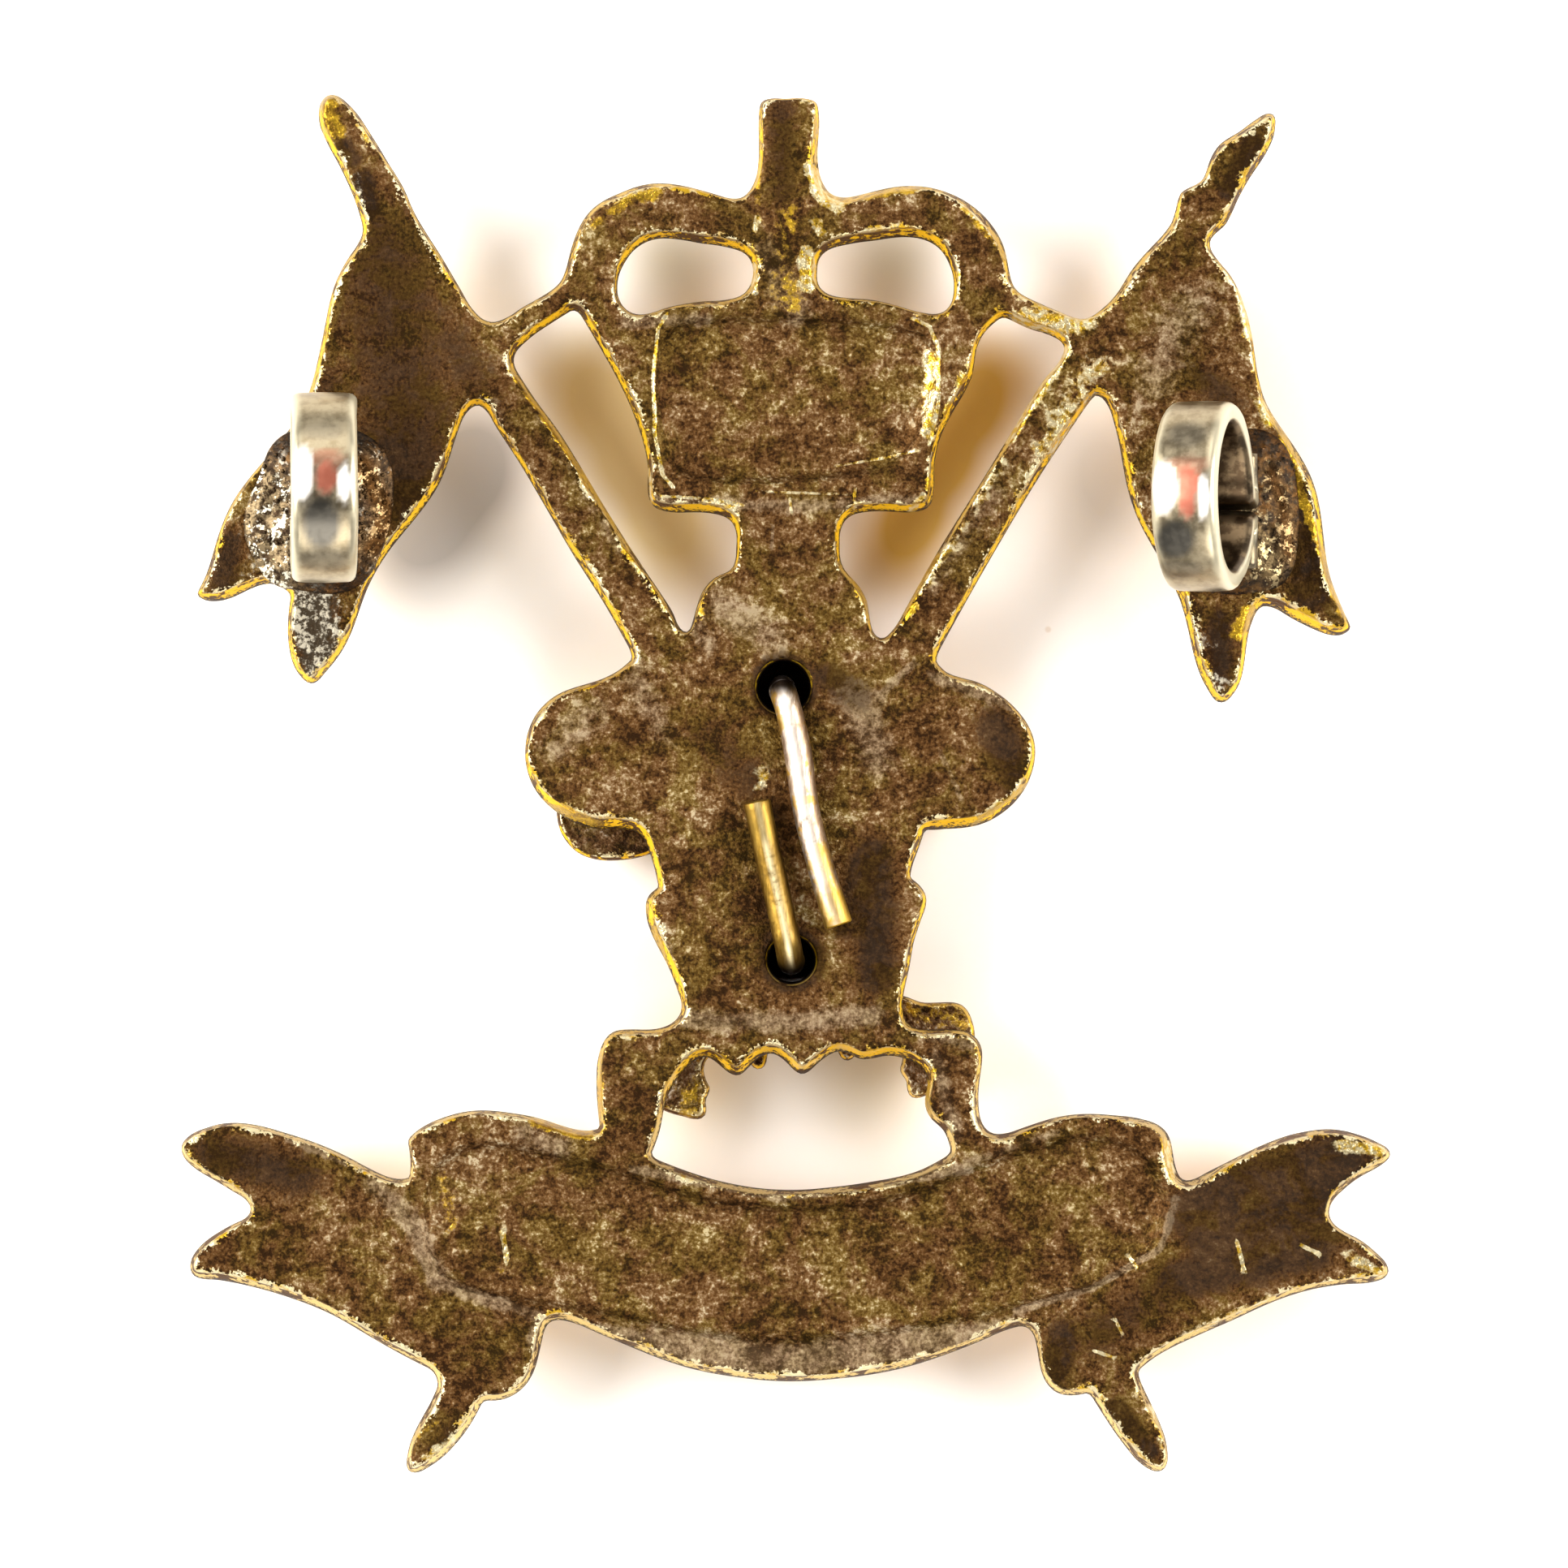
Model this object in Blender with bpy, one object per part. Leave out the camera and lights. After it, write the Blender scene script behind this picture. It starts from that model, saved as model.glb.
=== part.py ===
"""Cap badge, lying face down: a pierced, die-struck backing plate with a crown, two crossed
lances with pennons and a plain scroll, a plume mount and a band mounted on its front, two
fixing wires bent over on its rear, and two strip loops soldered on the pennons.

+Z is out of the rear of the badge, +Y towards the crown. Lengths are millimetres until
they reach Blender, which works in metres.
"""

import math

import bmesh
import bpy
from mathutils import Matrix, Vector

MM = 0.001

# Heights, from the highest points of the front relief (0) to the rear.
PLATE_FRONT = 2.6
PLATE_REAR = 3.9
PLATE_CHAMFER = 0.15
GAP = 0.3
CAP_FRONT = 1.3
SCROLL_FRONT = 1.8
BOSS_OVERLAP = 0.2
CAP_CHAMFER = 0.5
SCROLL_CHAMFER = 0.3
RECESS_SLOPE = 0.3
PLUME_REAR = PLATE_FRONT - GAP
PLUME_FRONT = 1.1
BAND_REAR = PLUME_FRONT - GAP
MOUNT_CHAMFER = 0.12
RECESS_DEPTH = 0.45

WIRE_RADIUS = 0.45
WIRE_LYING = PLATE_REAR + GAP + WIRE_RADIUS
UPPER_HOLE = (-0.05, 3.2)
UPPER_HOLE_RADIUS = 0.85
LOWER_HOLE = (0.2, -5.8)
LOWER_HOLE_RADIUS = 0.76

STRIP_WIDTH = 2.2
STRIP_THICKNESS = 0.75
RING_ACROSS = 6.25
RING_TALL = 5.3
STRIP_EDGE = 0.2
RING_STEPS = 30
FOOT_STEPS = 4
EASE_STEPS = 5
FOOT_LENGTH = 1.5
SOLDER_HEIGHT = 0.5
SOLDER_CHAMFER = 0.12
SEAT_CLEARANCE = 0.15

# The plume mount sits slightly turned on the plate.
MOUNT_TURN = math.radians(5.5)
MOUNT_CENTRE = (0.0, -3.0)

C = True  # marks a sharp corner in an outline; every other point is smooth

CROWN_AND_RIGHT_LANCE = [
    (-0.86, 22.3), (-0.74, 22.6), (0.0, 22.64), (0.95, 22.6), (1.1, 22.35), (1.1, 21.3),
    (1.08, 20.5), (1.35, 19.65), (1.8, 19.38), (2.6, 19.5), (3.5, 19.72), (4.5, 19.76),
    (5.4, 19.54), (6.2, 19.1), (6.85, 18.45), (7.25, 17.7), (7.4, 16.95), (7.6, 16.35),
    (8.2, 15.98), (9.1, 15.6), (9.85, 15.35), (10.45, 15.68), (11.0, 16.25), (11.45, 17.0),
    (12.1, 17.75), (12.75, 18.5), (12.93, 19.1), (13.12, 19.62), (13.75, 19.88),
    (14.0, 20.55), (14.35, 21.15), (15.0, 21.55), (15.6, 22.0), (16.08, 22.18),
    (16.22, 21.9), (15.98, 20.98), (15.4, 20.1), (14.95, 19.3), (14.55, 18.45),
    (14.05, 18.0), (14.12, 17.55), (14.7, 16.85), (15.15, 15.9), (15.45, 14.7),
    (15.6, 13.6), (15.9, 12.55), (16.55, 11.55), (17.25, 10.45), (17.62, 9.4),
    (17.8, 8.1), (17.97, 7.0), (18.35, 5.95), (18.72, 5.15, C), (18.35, 4.9),
    (17.6, 5.05), (16.6, 5.55), (15.82, 5.9), (15.5, 5.55), (15.25, 4.6), (15.1, 3.55),
    (14.8, 2.95), (14.38, 2.66), (14.0, 3.05), (13.6, 3.9), (13.38, 4.8), (13.22, 5.5),
    (13.0, 6.2), (12.4, 7.4), (11.72, 8.6), (11.3, 9.8), (11.1, 10.9), (10.85, 12.0),
    (10.5, 12.75), (10.2, 12.85, C), (8.5, 10.32), (7.05, 7.9), (5.98, 6.03), (4.93, 4.12, C),
]

RIGHT_SIDE = [
    (5.35, 3.66), (6.3, 3.4), (7.1, 2.95), (7.75, 2.35), (8.15, 1.7), (8.27, 1.1),
    (8.15, 0.35), (7.8, -0.35), (7.2, -0.95), (6.4, -1.36), (5.5, -1.48), (4.62, -1.5, C),
    (4.42, -2.1), (4.2, -2.7), (4.12, -3.1, C), (4.4, -3.3), (4.68, -3.78), (4.52, -4.4),
    (4.25, -5.2), (4.12, -6.0), (3.92, -6.9), (3.88, -7.5), (4.1, -7.98), (4.9, -8.12),
    (5.95, -8.15), (6.4, -8.5), (6.52, -9.0), (6.42, -9.8), (6.4, -10.8), (6.62, -11.4),
    (7.05, -11.58), (7.8, -11.38), (8.8, -11.05), (9.8, -10.9), (10.9, -10.95),
    (12.0, -11.12), (12.6, -11.48), (12.8, -12.1), (12.98, -12.9), (13.25, -13.12),
    (13.9, -12.85), (15.3, -12.15), (16.4, -11.68), (17.2, -11.48), (18.1, -11.4),
    (19.0, -11.6), (19.65, -11.88), (20.0, -12.15), (19.9, -12.45), (19.1, -12.92),
    (18.4, -13.45), (17.96, -14.05), (18.15, -14.58), (18.9, -15.0), (19.6, -15.55),
    (19.96, -16.08), (19.7, -16.4), (18.6, -16.52), (17.4, -16.7), (16.1, -17.12),
    (14.8, -17.72), (13.2, -18.42), (12.2, -18.95), (11.6, -19.45, C), (12.0, -20.3),
    (12.42, -21.2), (12.65, -22.1), (12.5, -22.7), (11.95, -22.62), (11.3, -21.98),
    (10.6, -21.0), (10.05, -20.12, C), (9.45, -20.22), (8.85, -20.05), (8.45, -19.4),
    (8.3, -18.5), (8.05, -17.98), (7.6, -17.95), (6.6, -18.35), (5.2, -18.9), (3.6, -19.38),
    (1.8, -19.65), (0.0, -19.75),
]

LEFT_SIDE = [
    (-1.8, -19.58), (-3.4, -19.25), (-5.0, -18.65), (-6.3, -18.1), (-7.2, -17.75),
    (-7.8, -17.78), (-8.02, -18.3), (-8.2, -19.1), (-8.55, -19.85), (-9.3, -20.35),
    (-9.98, -20.38, C), (-10.35, -21.1), (-11.0, -21.95), (-11.8, -22.6), (-12.42, -22.76),
    (-12.5, -22.2), (-12.2, -21.3), (-11.75, -20.5), (-11.46, -19.85, C), (-11.6, -19.4, C),
    (-12.6, -18.9), (-13.8, -18.22), (-15.0, -17.52), (-16.3, -17.0), (-17.6, -16.62),
    (-18.8, -16.38), (-19.5, -16.3), (-19.68, -15.95), (-19.45, -15.4), (-18.9, -14.92),
    (-18.2, -14.52), (-17.72, -14.25), (-17.7, -13.88), (-18.2, -13.5), (-19.0, -13.02),
    (-19.65, -12.6), (-19.98, -12.08), (-19.75, -11.65), (-19.1, -11.35), (-18.5, -11.2),
    (-17.6, -11.24), (-16.6, -11.5), (-15.4, -11.9), (-14.4, -12.35), (-13.4, -12.88),
    (-12.8, -13.06), (-12.42, -13.02, C), (-12.38, -12.5), (-12.48, -11.75, C),
    (-12.1, -11.4), (-11.2, -10.98), (-10.2, -10.78), (-9.2, -10.85), (-8.1, -11.05),
    (-7.2, -11.35), (-6.5, -11.46), (-6.12, -11.38, C), (-6.2, -10.7), (-6.24, -9.6),
    (-6.15, -8.9), (-5.85, -8.3), (-5.45, -8.12), (-4.6, -8.12), (-3.85, -7.98),
    (-3.42, -7.5), (-3.55, -6.85), (-3.95, -5.85), (-4.4, -5.0), (-4.62, -4.1),
    (-4.5, -3.66), (-4.18, -3.42, C), (-4.28, -2.95), (-4.5, -2.2), (-4.75, -1.7),
    (-5.2, -1.5), (-6.1, -1.5), (-6.9, -1.3), (-7.6, -0.9), (-8.2, -0.3), (-8.52, 0.4),
    (-8.6, 1.1), (-8.45, 1.9), (-8.0, 2.6), (-7.3, 3.08), (-6.3, 3.38), (-5.5, 3.75),
    (-5.0, 4.2, C),
]

LEFT_LANCE_AND_ARCH = [
    (-6.0, 6.0), (-7.0, 7.55), (-8.6, 10.32), (-9.6, 11.85), (-10.05, 12.5), (-10.4, 12.42),
    (-10.75, 11.85), (-11.1, 10.75), (-11.5, 9.78), (-12.3, 8.68), (-13.1, 7.7),
    (-13.8, 6.5), (-14.2, 5.35), (-14.6, 4.45), (-15.25, 3.62), (-15.6, 3.3), (-16.0, 3.52),
    (-16.35, 4.2), (-16.44, 5.4), (-16.33, 6.28, C), (-16.9, 6.62), (-17.6, 6.48),
    (-18.3, 6.14), (-19.1, 6.04), (-19.47, 6.25, C), (-19.1, 7.0), (-18.75, 8.2),
    (-18.2, 9.45), (-17.3, 10.6), (-16.4, 11.7), (-15.8, 12.75), (-15.45, 14.0),
    (-15.2, 15.2), (-14.9, 16.5), (-14.4, 17.45), (-13.97, 18.15), (-14.05, 18.75),
    (-14.35, 19.6), (-14.8, 20.55), (-15.25, 21.4), (-15.44, 22.15), (-15.12, 22.8),
    (-14.5, 22.55), (-13.8, 21.65), (-13.1, 20.5), (-12.55, 19.6), (-12.3, 18.95),
    (-11.4, 17.5), (-10.7, 16.3), (-10.1, 15.42), (-9.55, 15.26), (-8.7, 15.75),
    (-7.9, 16.2), (-7.4, 16.62), (-7.15, 17.4), (-6.9, 18.2), (-6.4, 19.0), (-5.5, 19.52),
    (-4.4, 19.86), (-3.2, 19.74), (-2.2, 19.46), (-1.5, 19.34), (-1.08, 19.75),
    (-0.9, 20.4), (-0.88, 21.4),
]

OUTER_EDGE = CROWN_AND_RIGHT_LANCE + RIGHT_SIDE + LEFT_SIDE + LEFT_LANCE_AND_ARCH

LEFT_CROWN_WINDOW = [
    (-1.15, 17.35), (-1.6, 17.66), (-2.8, 17.86), (-4.0, 18.04), (-4.75, 17.84), (-5.3, 17.25),
    (-5.56, 16.45), (-5.35, 15.75), (-4.75, 15.5), (-3.9, 15.76), (-2.7, 15.96),
    (-1.5, 16.1), (-1.1, 16.6),
]

RIGHT_CROWN_WINDOW = [
    (1.05, 16.9), (1.15, 16.38), (1.7, 16.1), (2.8, 16.02), (3.8, 15.78), (4.6, 15.56),
    (5.3, 15.62), (5.58, 16.3), (5.4, 17.25), (4.9, 17.86), (4.0, 18.08), (3.0, 17.96),
    (1.9, 17.8), (1.2, 17.5),
]

LEFT_TRIANGLE_WINDOW = [
    (-6.9, 15.74, C), (-7.9, 15.12), (-8.65, 14.55), (-8.98, 14.1), (-8.85, 13.6),
    (-7.47, 11.66), (-6.0, 9.2), (-4.63, 7.06), (-3.7, 5.68), (-3.3, 4.98), (-3.05, 5.4),
    (-2.78, 6.3), (-2.3, 6.85), (-1.75, 7.1), (-1.62, 7.8), (-1.68, 8.55), (-2.1, 8.88),
    (-3.1, 8.98), (-4.2, 9.06), (-4.52, 9.45), (-4.52, 10.4), (-4.75, 11.5), (-5.35, 13.0),
    (-6.05, 14.3),
]

RIGHT_TRIANGLE_WINDOW = [
    (7.2, 15.46, C), (6.6, 14.95), (6.3, 14.3), (6.2, 13.5), (5.6, 12.4), (5.1, 11.4),
    (4.92, 10.4), (4.88, 9.4), (4.6, 9.05), (3.6, 9.0), (2.4, 8.96), (1.92, 8.65),
    (1.8, 7.9), (1.9, 7.15), (2.4, 6.6), (2.72, 6.0), (2.84, 5.2), (3.1, 4.82),
    (3.42, 4.92), (4.0, 5.85), (5.0, 7.62), (6.4, 9.85), (7.6, 11.83), (8.6, 13.45),
    (9.25, 14.35), (9.0, 14.72), (8.1, 15.02),
]

ARCHED_WINDOW = [
    (-4.46, -12.32, C), (-4.15, -11.5), (-4.0, -10.7), (-3.8, -10.1), (-3.2, -9.3),
    (-2.62, -9.0), (-2.1, -9.35), (-1.58, -9.66), (-1.15, -9.3), (-0.5, -8.88),
    (0.05, -9.2), (0.55, -9.62), (1.05, -9.25), (1.8, -8.8), (2.5, -9.12), (3.3, -8.98),
    (3.9, -9.05), (4.55, -9.4), (4.72, -9.9), (4.6, -10.5), (4.8, -11.05), (5.25, -11.45),
    (5.5, -12.2, C), (4.4, -12.8), (3.0, -13.12), (1.4, -13.34), (0.0, -13.42),
    (-1.6, -13.25), (-3.1, -12.85),
]

CAP_RECESS = [
    (-4.05, 14.9), (-4.35, 14.0), (-4.3, 12.4), (-4.1, 11.0), (-3.5, 10.1), (-1.8, 9.85),
    (0.4, 9.9), (2.6, 10.1), (3.8, 10.5), (4.4, 11.3), (4.85, 12.5), (5.12, 13.8),
    (4.9, 14.7), (4.0, 15.15), (2.0, 15.4), (-1.0, 15.5), (-3.2, 15.35),
]

SCROLL_RECESS = [
    (-11.9, -13.2), (-11.2, -12.1), (-9.6, -11.72), (-8.0, -12.05), (-6.2, -12.4),
    (-4.4, -13.0), (-2.2, -13.62), (0.0, -13.85), (2.2, -13.75), (4.4, -13.25),
    (6.2, -12.5), (8.0, -11.9), (9.8, -11.5), (11.6, -11.9), (12.5, -13.0), (12.6, -14.4),
    (12.0, -15.6), (10.8, -16.5), (8.6, -17.1), (6.4, -17.7), (4.0, -18.15), (1.4, -18.42),
    (-1.2, -18.45), (-3.6, -18.15), (-6.0, -17.6), (-8.4, -17.25), (-10.4, -16.8),
    (-11.5, -16.2), (-12.0, -14.8),
]

PLUME_RIGHT_HALF = [
    (0.95, 3.4), (1.5, 2.7), (1.55, 1.8), (1.2, 0.9, C), (2.0, 1.7), (3.2, 2.2),
    (4.7, 2.3), (6.1, 1.8), (7.1, 0.7), (7.35, -0.5), (7.0, -1.4), (6.4, -1.84),
    (5.6, -2.0), (4.6, -1.95), (4.0, -1.75, C), (3.7, -1.4), (3.4, -2.2), (3.1, -3.6),
    (2.9, -5.0), (2.2, -6.2), (1.9, -7.0, C), (2.7, -7.15), (3.6, -7.4), (4.1, -7.66),
    (5.0, -7.72), (5.45, -7.88), (5.7, -8.4), (5.72, -9.1), (5.4, -9.8), (4.75, -10.4),
    (4.1, -10.66), (3.6, -10.8), (3.36, -10.62), (3.36, -10.2, C), (3.13, -9.83, C),
    (3.3, -9.4), (3.2, -8.85), (2.6, -8.6), (1.95, -8.6, C), (1.7, -9.33, C),
    (1.25, -9.33, C), (1.1, -8.6, C),
]

BAND_RIGHT_HALF = [
    (1.6, -3.55), (3.3, -3.3, C), (3.1, -5.3, C), (1.6, -6.1),
]

# Feather tips: centre and radius, in the mount's own directions.
FEATHER_TIPS = [((0.0, 2.1), 1.3), ((5.75, -0.1), 1.5), ((-5.75, -0.1), 1.5)]

# Lance shafts: lower and upper end of each visible run.
SHAFT_RADIUS = 0.55
SHAFT_SIDES = 14
SHAFTS = [
    ((5.15, 6.2), (9.6, 13.7)), ((11.35, 15.5), (14.55, 19.9)), ((-5.1, 6.2), (-13.4, 19.3)),
]

# Loops: cusp between the feet, lean of the ring about Y, and the lump of solder round them.
LEFT_LOOP_PLACE = (-15.22, 8.95)
LEFT_LOOP_LEAN = math.radians(2.5)
LEFT_RING_SHIFT = 0.75
RIGHT_LOOP_PLACE = (14.5, 9.0)
RIGHT_LOOP_LEAN = math.radians(-17.5)
RIGHT_RING_SHIFT = 0.42

LEFT_SOLDER_EDGE = [
    (-17.9, 8.6), (-17.5, 7.3), (-16.9, 6.6), (-16.2, 6.4), (-14.2, 6.4), (-13.3, 7.7),
    (-12.9, 9.4), (-13.1, 10.8), (-13.9, 11.6), (-15.4, 11.8), (-16.75, 11.4),
    (-17.35, 10.2),
]

RIGHT_SOLDER_EDGE = [
    (12.75, 7.6), (13.0, 6.8), (13.5, 6.45), (15.9, 6.35), (16.6, 6.75), (16.95, 8.3),
    (16.9, 9.8), (16.6, 11.0), (16.0, 11.6), (15.0, 11.75), (13.7, 11.6), (12.9, 10.8),
    (12.7, 9.2),
]


def collection(name):
    made = bpy.data.collections.new(name)
    bpy.context.scene.collection.children.link(made)
    return made


def metal(name, colour, roughness):
    material = bpy.data.materials.new(name)
    material.use_nodes = True
    shader = material.node_tree.nodes["Principled BSDF"]
    shader.inputs["Base Color"].default_value = (*colour, 1.0)
    shader.inputs["Metallic"].default_value = 1.0
    shader.inputs["Roughness"].default_value = roughness
    material.diffuse_color = (*colour, 1.0)
    return material


def flat_curve(name, loops, low, high, chamfer=0.0, steps=2):
    """A closed plate between two heights: the first loop is its edge, the others openings."""
    curve = bpy.data.curves.new(name, "CURVE")
    curve.dimensions = "2D"
    curve.fill_mode = "BOTH"
    curve.resolution_u = steps
    curve.render_resolution_u = 0
    curve.extrude = ((high - low) / 2 - chamfer) * MM
    curve.bevel_depth = chamfer * MM
    curve.bevel_resolution = 0
    curve.offset = -chamfer * MM
    for loop in loops:
        spline = curve.splines.new("BEZIER")
        spline.bezier_points.add(len(loop) - 1)
        spline.use_cyclic_u = True
        for point, place in zip(spline.bezier_points, loop):
            kind = "VECTOR" if len(place) == 3 else "AUTO"
            point.co = (place[0] * MM, place[1] * MM, 0.0)
            point.handle_left_type = kind
            point.handle_right_type = kind
    made = bpy.data.objects.new(name, curve)
    made.location.z = (low + high) / 2 * MM
    return made


def as_mesh(source, group, material=None):
    """Turns a curve object into a mesh object with welded caps."""
    name = source.name
    parts.objects.link(source)
    bpy.context.view_layer.update()
    graph = bpy.context.evaluated_depsgraph_get()
    mesh = bpy.data.meshes.new_from_object(source.evaluated_get(graph))
    place = source.matrix_world.copy()
    bpy.data.objects.remove(source)
    welded = bmesh.new()
    welded.from_mesh(mesh)
    bmesh.ops.remove_doubles(welded, verts=welded.verts, dist=2e-6)
    bmesh.ops.dissolve_degenerate(welded, edges=welded.edges, dist=2e-6)
    bmesh.ops.recalc_face_normals(welded, faces=welded.faces)
    welded.to_mesh(mesh)
    welded.free()
    made = bpy.data.objects.new(name, mesh)
    made.matrix_world = place
    group.objects.link(made)
    if material:
        mesh.materials.clear()
        mesh.materials.append(material)
    return made


def primitive(name, group, build, material=None):
    """An object from a bmesh primitive, made by build(mesh)."""
    shape = bmesh.new()
    build(shape)
    mesh = bpy.data.meshes.new(name)
    shape.to_mesh(mesh)
    shape.free()
    made = bpy.data.objects.new(name, mesh)
    group.objects.link(made)
    if material:
        mesh.materials.append(material)
    return made


def cylinder(name, radius, low, high, sides=20):
    """An upright cylinder for a cut or a join, between two heights at x = y = 0."""

    def build(shape):
        bmesh.ops.create_cone(
            shape, cap_ends=True, segments=sides, depth=(high - low) * MM,
            radius1=radius * MM, radius2=radius * MM,
        )

    made = primitive(name, tools, build)
    made.location.z = (low + high) / 2 * MM
    return made


def apply_boolean(target, tool, operation):
    tool.hide_render = True
    tool.display_type = "WIRE"
    modifier = target.modifiers.new(tool.name, "BOOLEAN")
    modifier.operation = operation
    modifier.object = tool
    modifier.solver = "EXACT"


def turned(points):
    """Points of the mount's own directions, turned to how it sits on the plate."""
    cos, sin = math.cos(MOUNT_TURN), math.sin(MOUNT_TURN)
    found = []
    for point in points:
        x, y = point[0] - MOUNT_CENTRE[0], point[1] - MOUNT_CENTRE[1]
        place = (MOUNT_CENTRE[0] + x * cos - y * sin, MOUNT_CENTRE[1] + x * sin + y * cos)
        found.append(place + tuple(point[2:]))
    return found


def both_halves(top, right, bottom):
    """A closed outline from its right half, going clockwise from the top."""
    left = [(-point[0],) + tuple(point[1:]) for point in reversed(right)]
    return [top] + right + [bottom] + left


def wire(name, places, material):
    """A round wire along the given places, its bends eased by a smooth curve."""
    curve = bpy.data.curves.new(name, "CURVE")
    curve.dimensions = "3D"
    curve.bevel_depth = WIRE_RADIUS * MM
    curve.bevel_resolution = 2
    curve.resolution_u = 3
    curve.render_resolution_u = 0
    curve.use_fill_caps = True
    spline = curve.splines.new("BEZIER")
    spline.bezier_points.add(len(places) - 1)
    for point, place in zip(spline.bezier_points, places):
        point.co = Vector(place) * MM
        point.handle_left_type = "AUTO"
        point.handle_right_type = "AUTO"
    made = as_mesh(bpy.data.objects.new(name, curve), parts, material)
    smooth(made)
    return made


def smooth(made, angle=40):
    made.data.shade_smooth()
    made.data.set_sharp_from_angle(angle=math.radians(angle))


def loop_stations(lean, shift):
    """The strip's middle line from one foot round the ring to the other: each station is
    its middle, its direction across the strip and its direction through the thickness."""
    half = STRIP_THICKNESS / 2
    cusp = 1.05 * STRIP_THICKNESS
    across = (RING_ACROSS - STRIP_THICKNESS) / 2
    tall = (RING_TALL - STRIP_THICKNESS) / 2
    foot = []
    for part in range(FOOT_STEPS):
        t = part / (FOOT_STEPS - 1)
        foot.append((half + FOOT_LENGTH * (1 - t), half + (cusp - half) * t ** 3, 0.0))
    flat = [(-y, z, share) for y, z, share in foot]
    opening = math.asin(half / across)
    for step in range(RING_STEPS + 1):
        turn = opening + 2 * (math.pi - opening) * step / RING_STEPS
        share = min(1.0, min(step, RING_STEPS - step) / EASE_STEPS)
        y = -across * math.sin(turn) + shift * share
        z = cusp + half + tall * (1 - math.cos(turn))
        flat.append((y, z, share))
    flat += reversed(foot)
    stations = []
    for index, (y, z, share) in enumerate(flat):
        before = flat[max(index - 1, 0)]
        after = flat[min(index + 1, len(flat) - 1)]
        along = Vector((0.0, after[0] - before[0], after[1] - before[1])).normalized()
        lean_here = Matrix.Rotation(lean * share, 3, "Y")
        whole = Matrix.Rotation(lean, 3, "Y")
        middle = whole @ Vector((0.0, y, z - cusp)) if z > cusp else Vector((0, y, z - cusp))
        middle.z += cusp
        across_strip = lean_here @ Vector((1.0, 0.0, 0.0))
        along = lean_here @ along
        stations.append((middle, across_strip, along.cross(across_strip).normalized()))
    return stations


def strip_loop(name, place, lean, shift, material):
    """A ring bent from flat strip, its two ends turned out as feet: a loft of one rounded
    section, which leans with the ring and lies flat at the feet."""
    width, thick, ease = STRIP_WIDTH / 2, STRIP_THICKNESS / 2, STRIP_EDGE
    section = [
        (width, thick - ease), (width - ease, thick), (ease - width, thick),
        (-width, thick - ease), (-width, ease - thick), (ease - width, -thick),
        (width - ease, -thick), (width, ease - thick),
    ]
    base = Vector((place[0], place[1], PLATE_REAR + GAP))

    def build(shape):
        rings = []
        for middle, across, through in loop_stations(lean, shift):
            corners = [base + middle + across * u + through * v for u, v in section]
            rings.append([shape.verts.new(corner * MM) for corner in corners])
        for first, second in zip(rings, rings[1:]):
            for side in range(len(section)):
                after = (side + 1) % len(section)
                shape.faces.new((first[side], first[after], second[after], second[side]))
        shape.faces.new(rings[0][::-1])
        shape.faces.new(rings[-1])
        bmesh.ops.recalc_face_normals(shape, faces=shape.faces)

    made = primitive(name, parts, build, material)
    smooth(made)
    return made


def solder(name, edge, place, material):
    """A low lump of solder round a loop's feet, with the feet's own place left open."""
    side = STRIP_WIDTH / 2 + SEAT_CLEARANCE
    end = STRIP_THICKNESS / 2 + FOOT_LENGTH + SEAT_CLEARANCE
    x, y = place
    seat = [(x - side, y - end, C), (x - side, y + end, C), (x + side, y + end, C),
            (x + side, y - end, C)]
    low = PLATE_REAR + GAP
    lump = flat_curve(name, [edge, seat], low, low + SOLDER_HEIGHT, SOLDER_CHAMFER, 3)
    return as_mesh(lump, parts, material)


for old in list(bpy.data.objects):
    bpy.data.objects.remove(old)
parts = collection("cap_badge")
tools = collection("cutters")

gilt = metal("gilt_brass", (0.30, 0.20, 0.09), 0.45)
white_metal = metal("white_metal", (0.36, 0.31, 0.25), 0.42)
band_gilt = metal("band_gilt", (0.42, 0.29, 0.11), 0.38)
silvered = metal("silvered_wire", (0.72, 0.66, 0.56), 0.25)
brass = metal("brass_wire", (0.55, 0.38, 0.13), 0.30)
loop_metal = metal("loop_strip", (0.55, 0.53, 0.45), 0.35)
solder_metal = metal("soft_solder", (0.50, 0.44, 0.34), 0.5)

# The backing plate: pierced outline, two recesses in its rear, two holes for the wires,
# and the crown's cap, the scroll and the lance shafts standing out of its front.
windows = [
    LEFT_CROWN_WINDOW, RIGHT_CROWN_WINDOW, LEFT_TRIANGLE_WINDOW, RIGHT_TRIANGLE_WINDOW,
    ARCHED_WINDOW,
]
plate_curve = flat_curve(
    "backing_plate", [OUTER_EDGE] + windows, PLATE_FRONT, PLATE_REAR, PLATE_CHAMFER
)
plate = as_mesh(plate_curve, parts, gilt)

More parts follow.
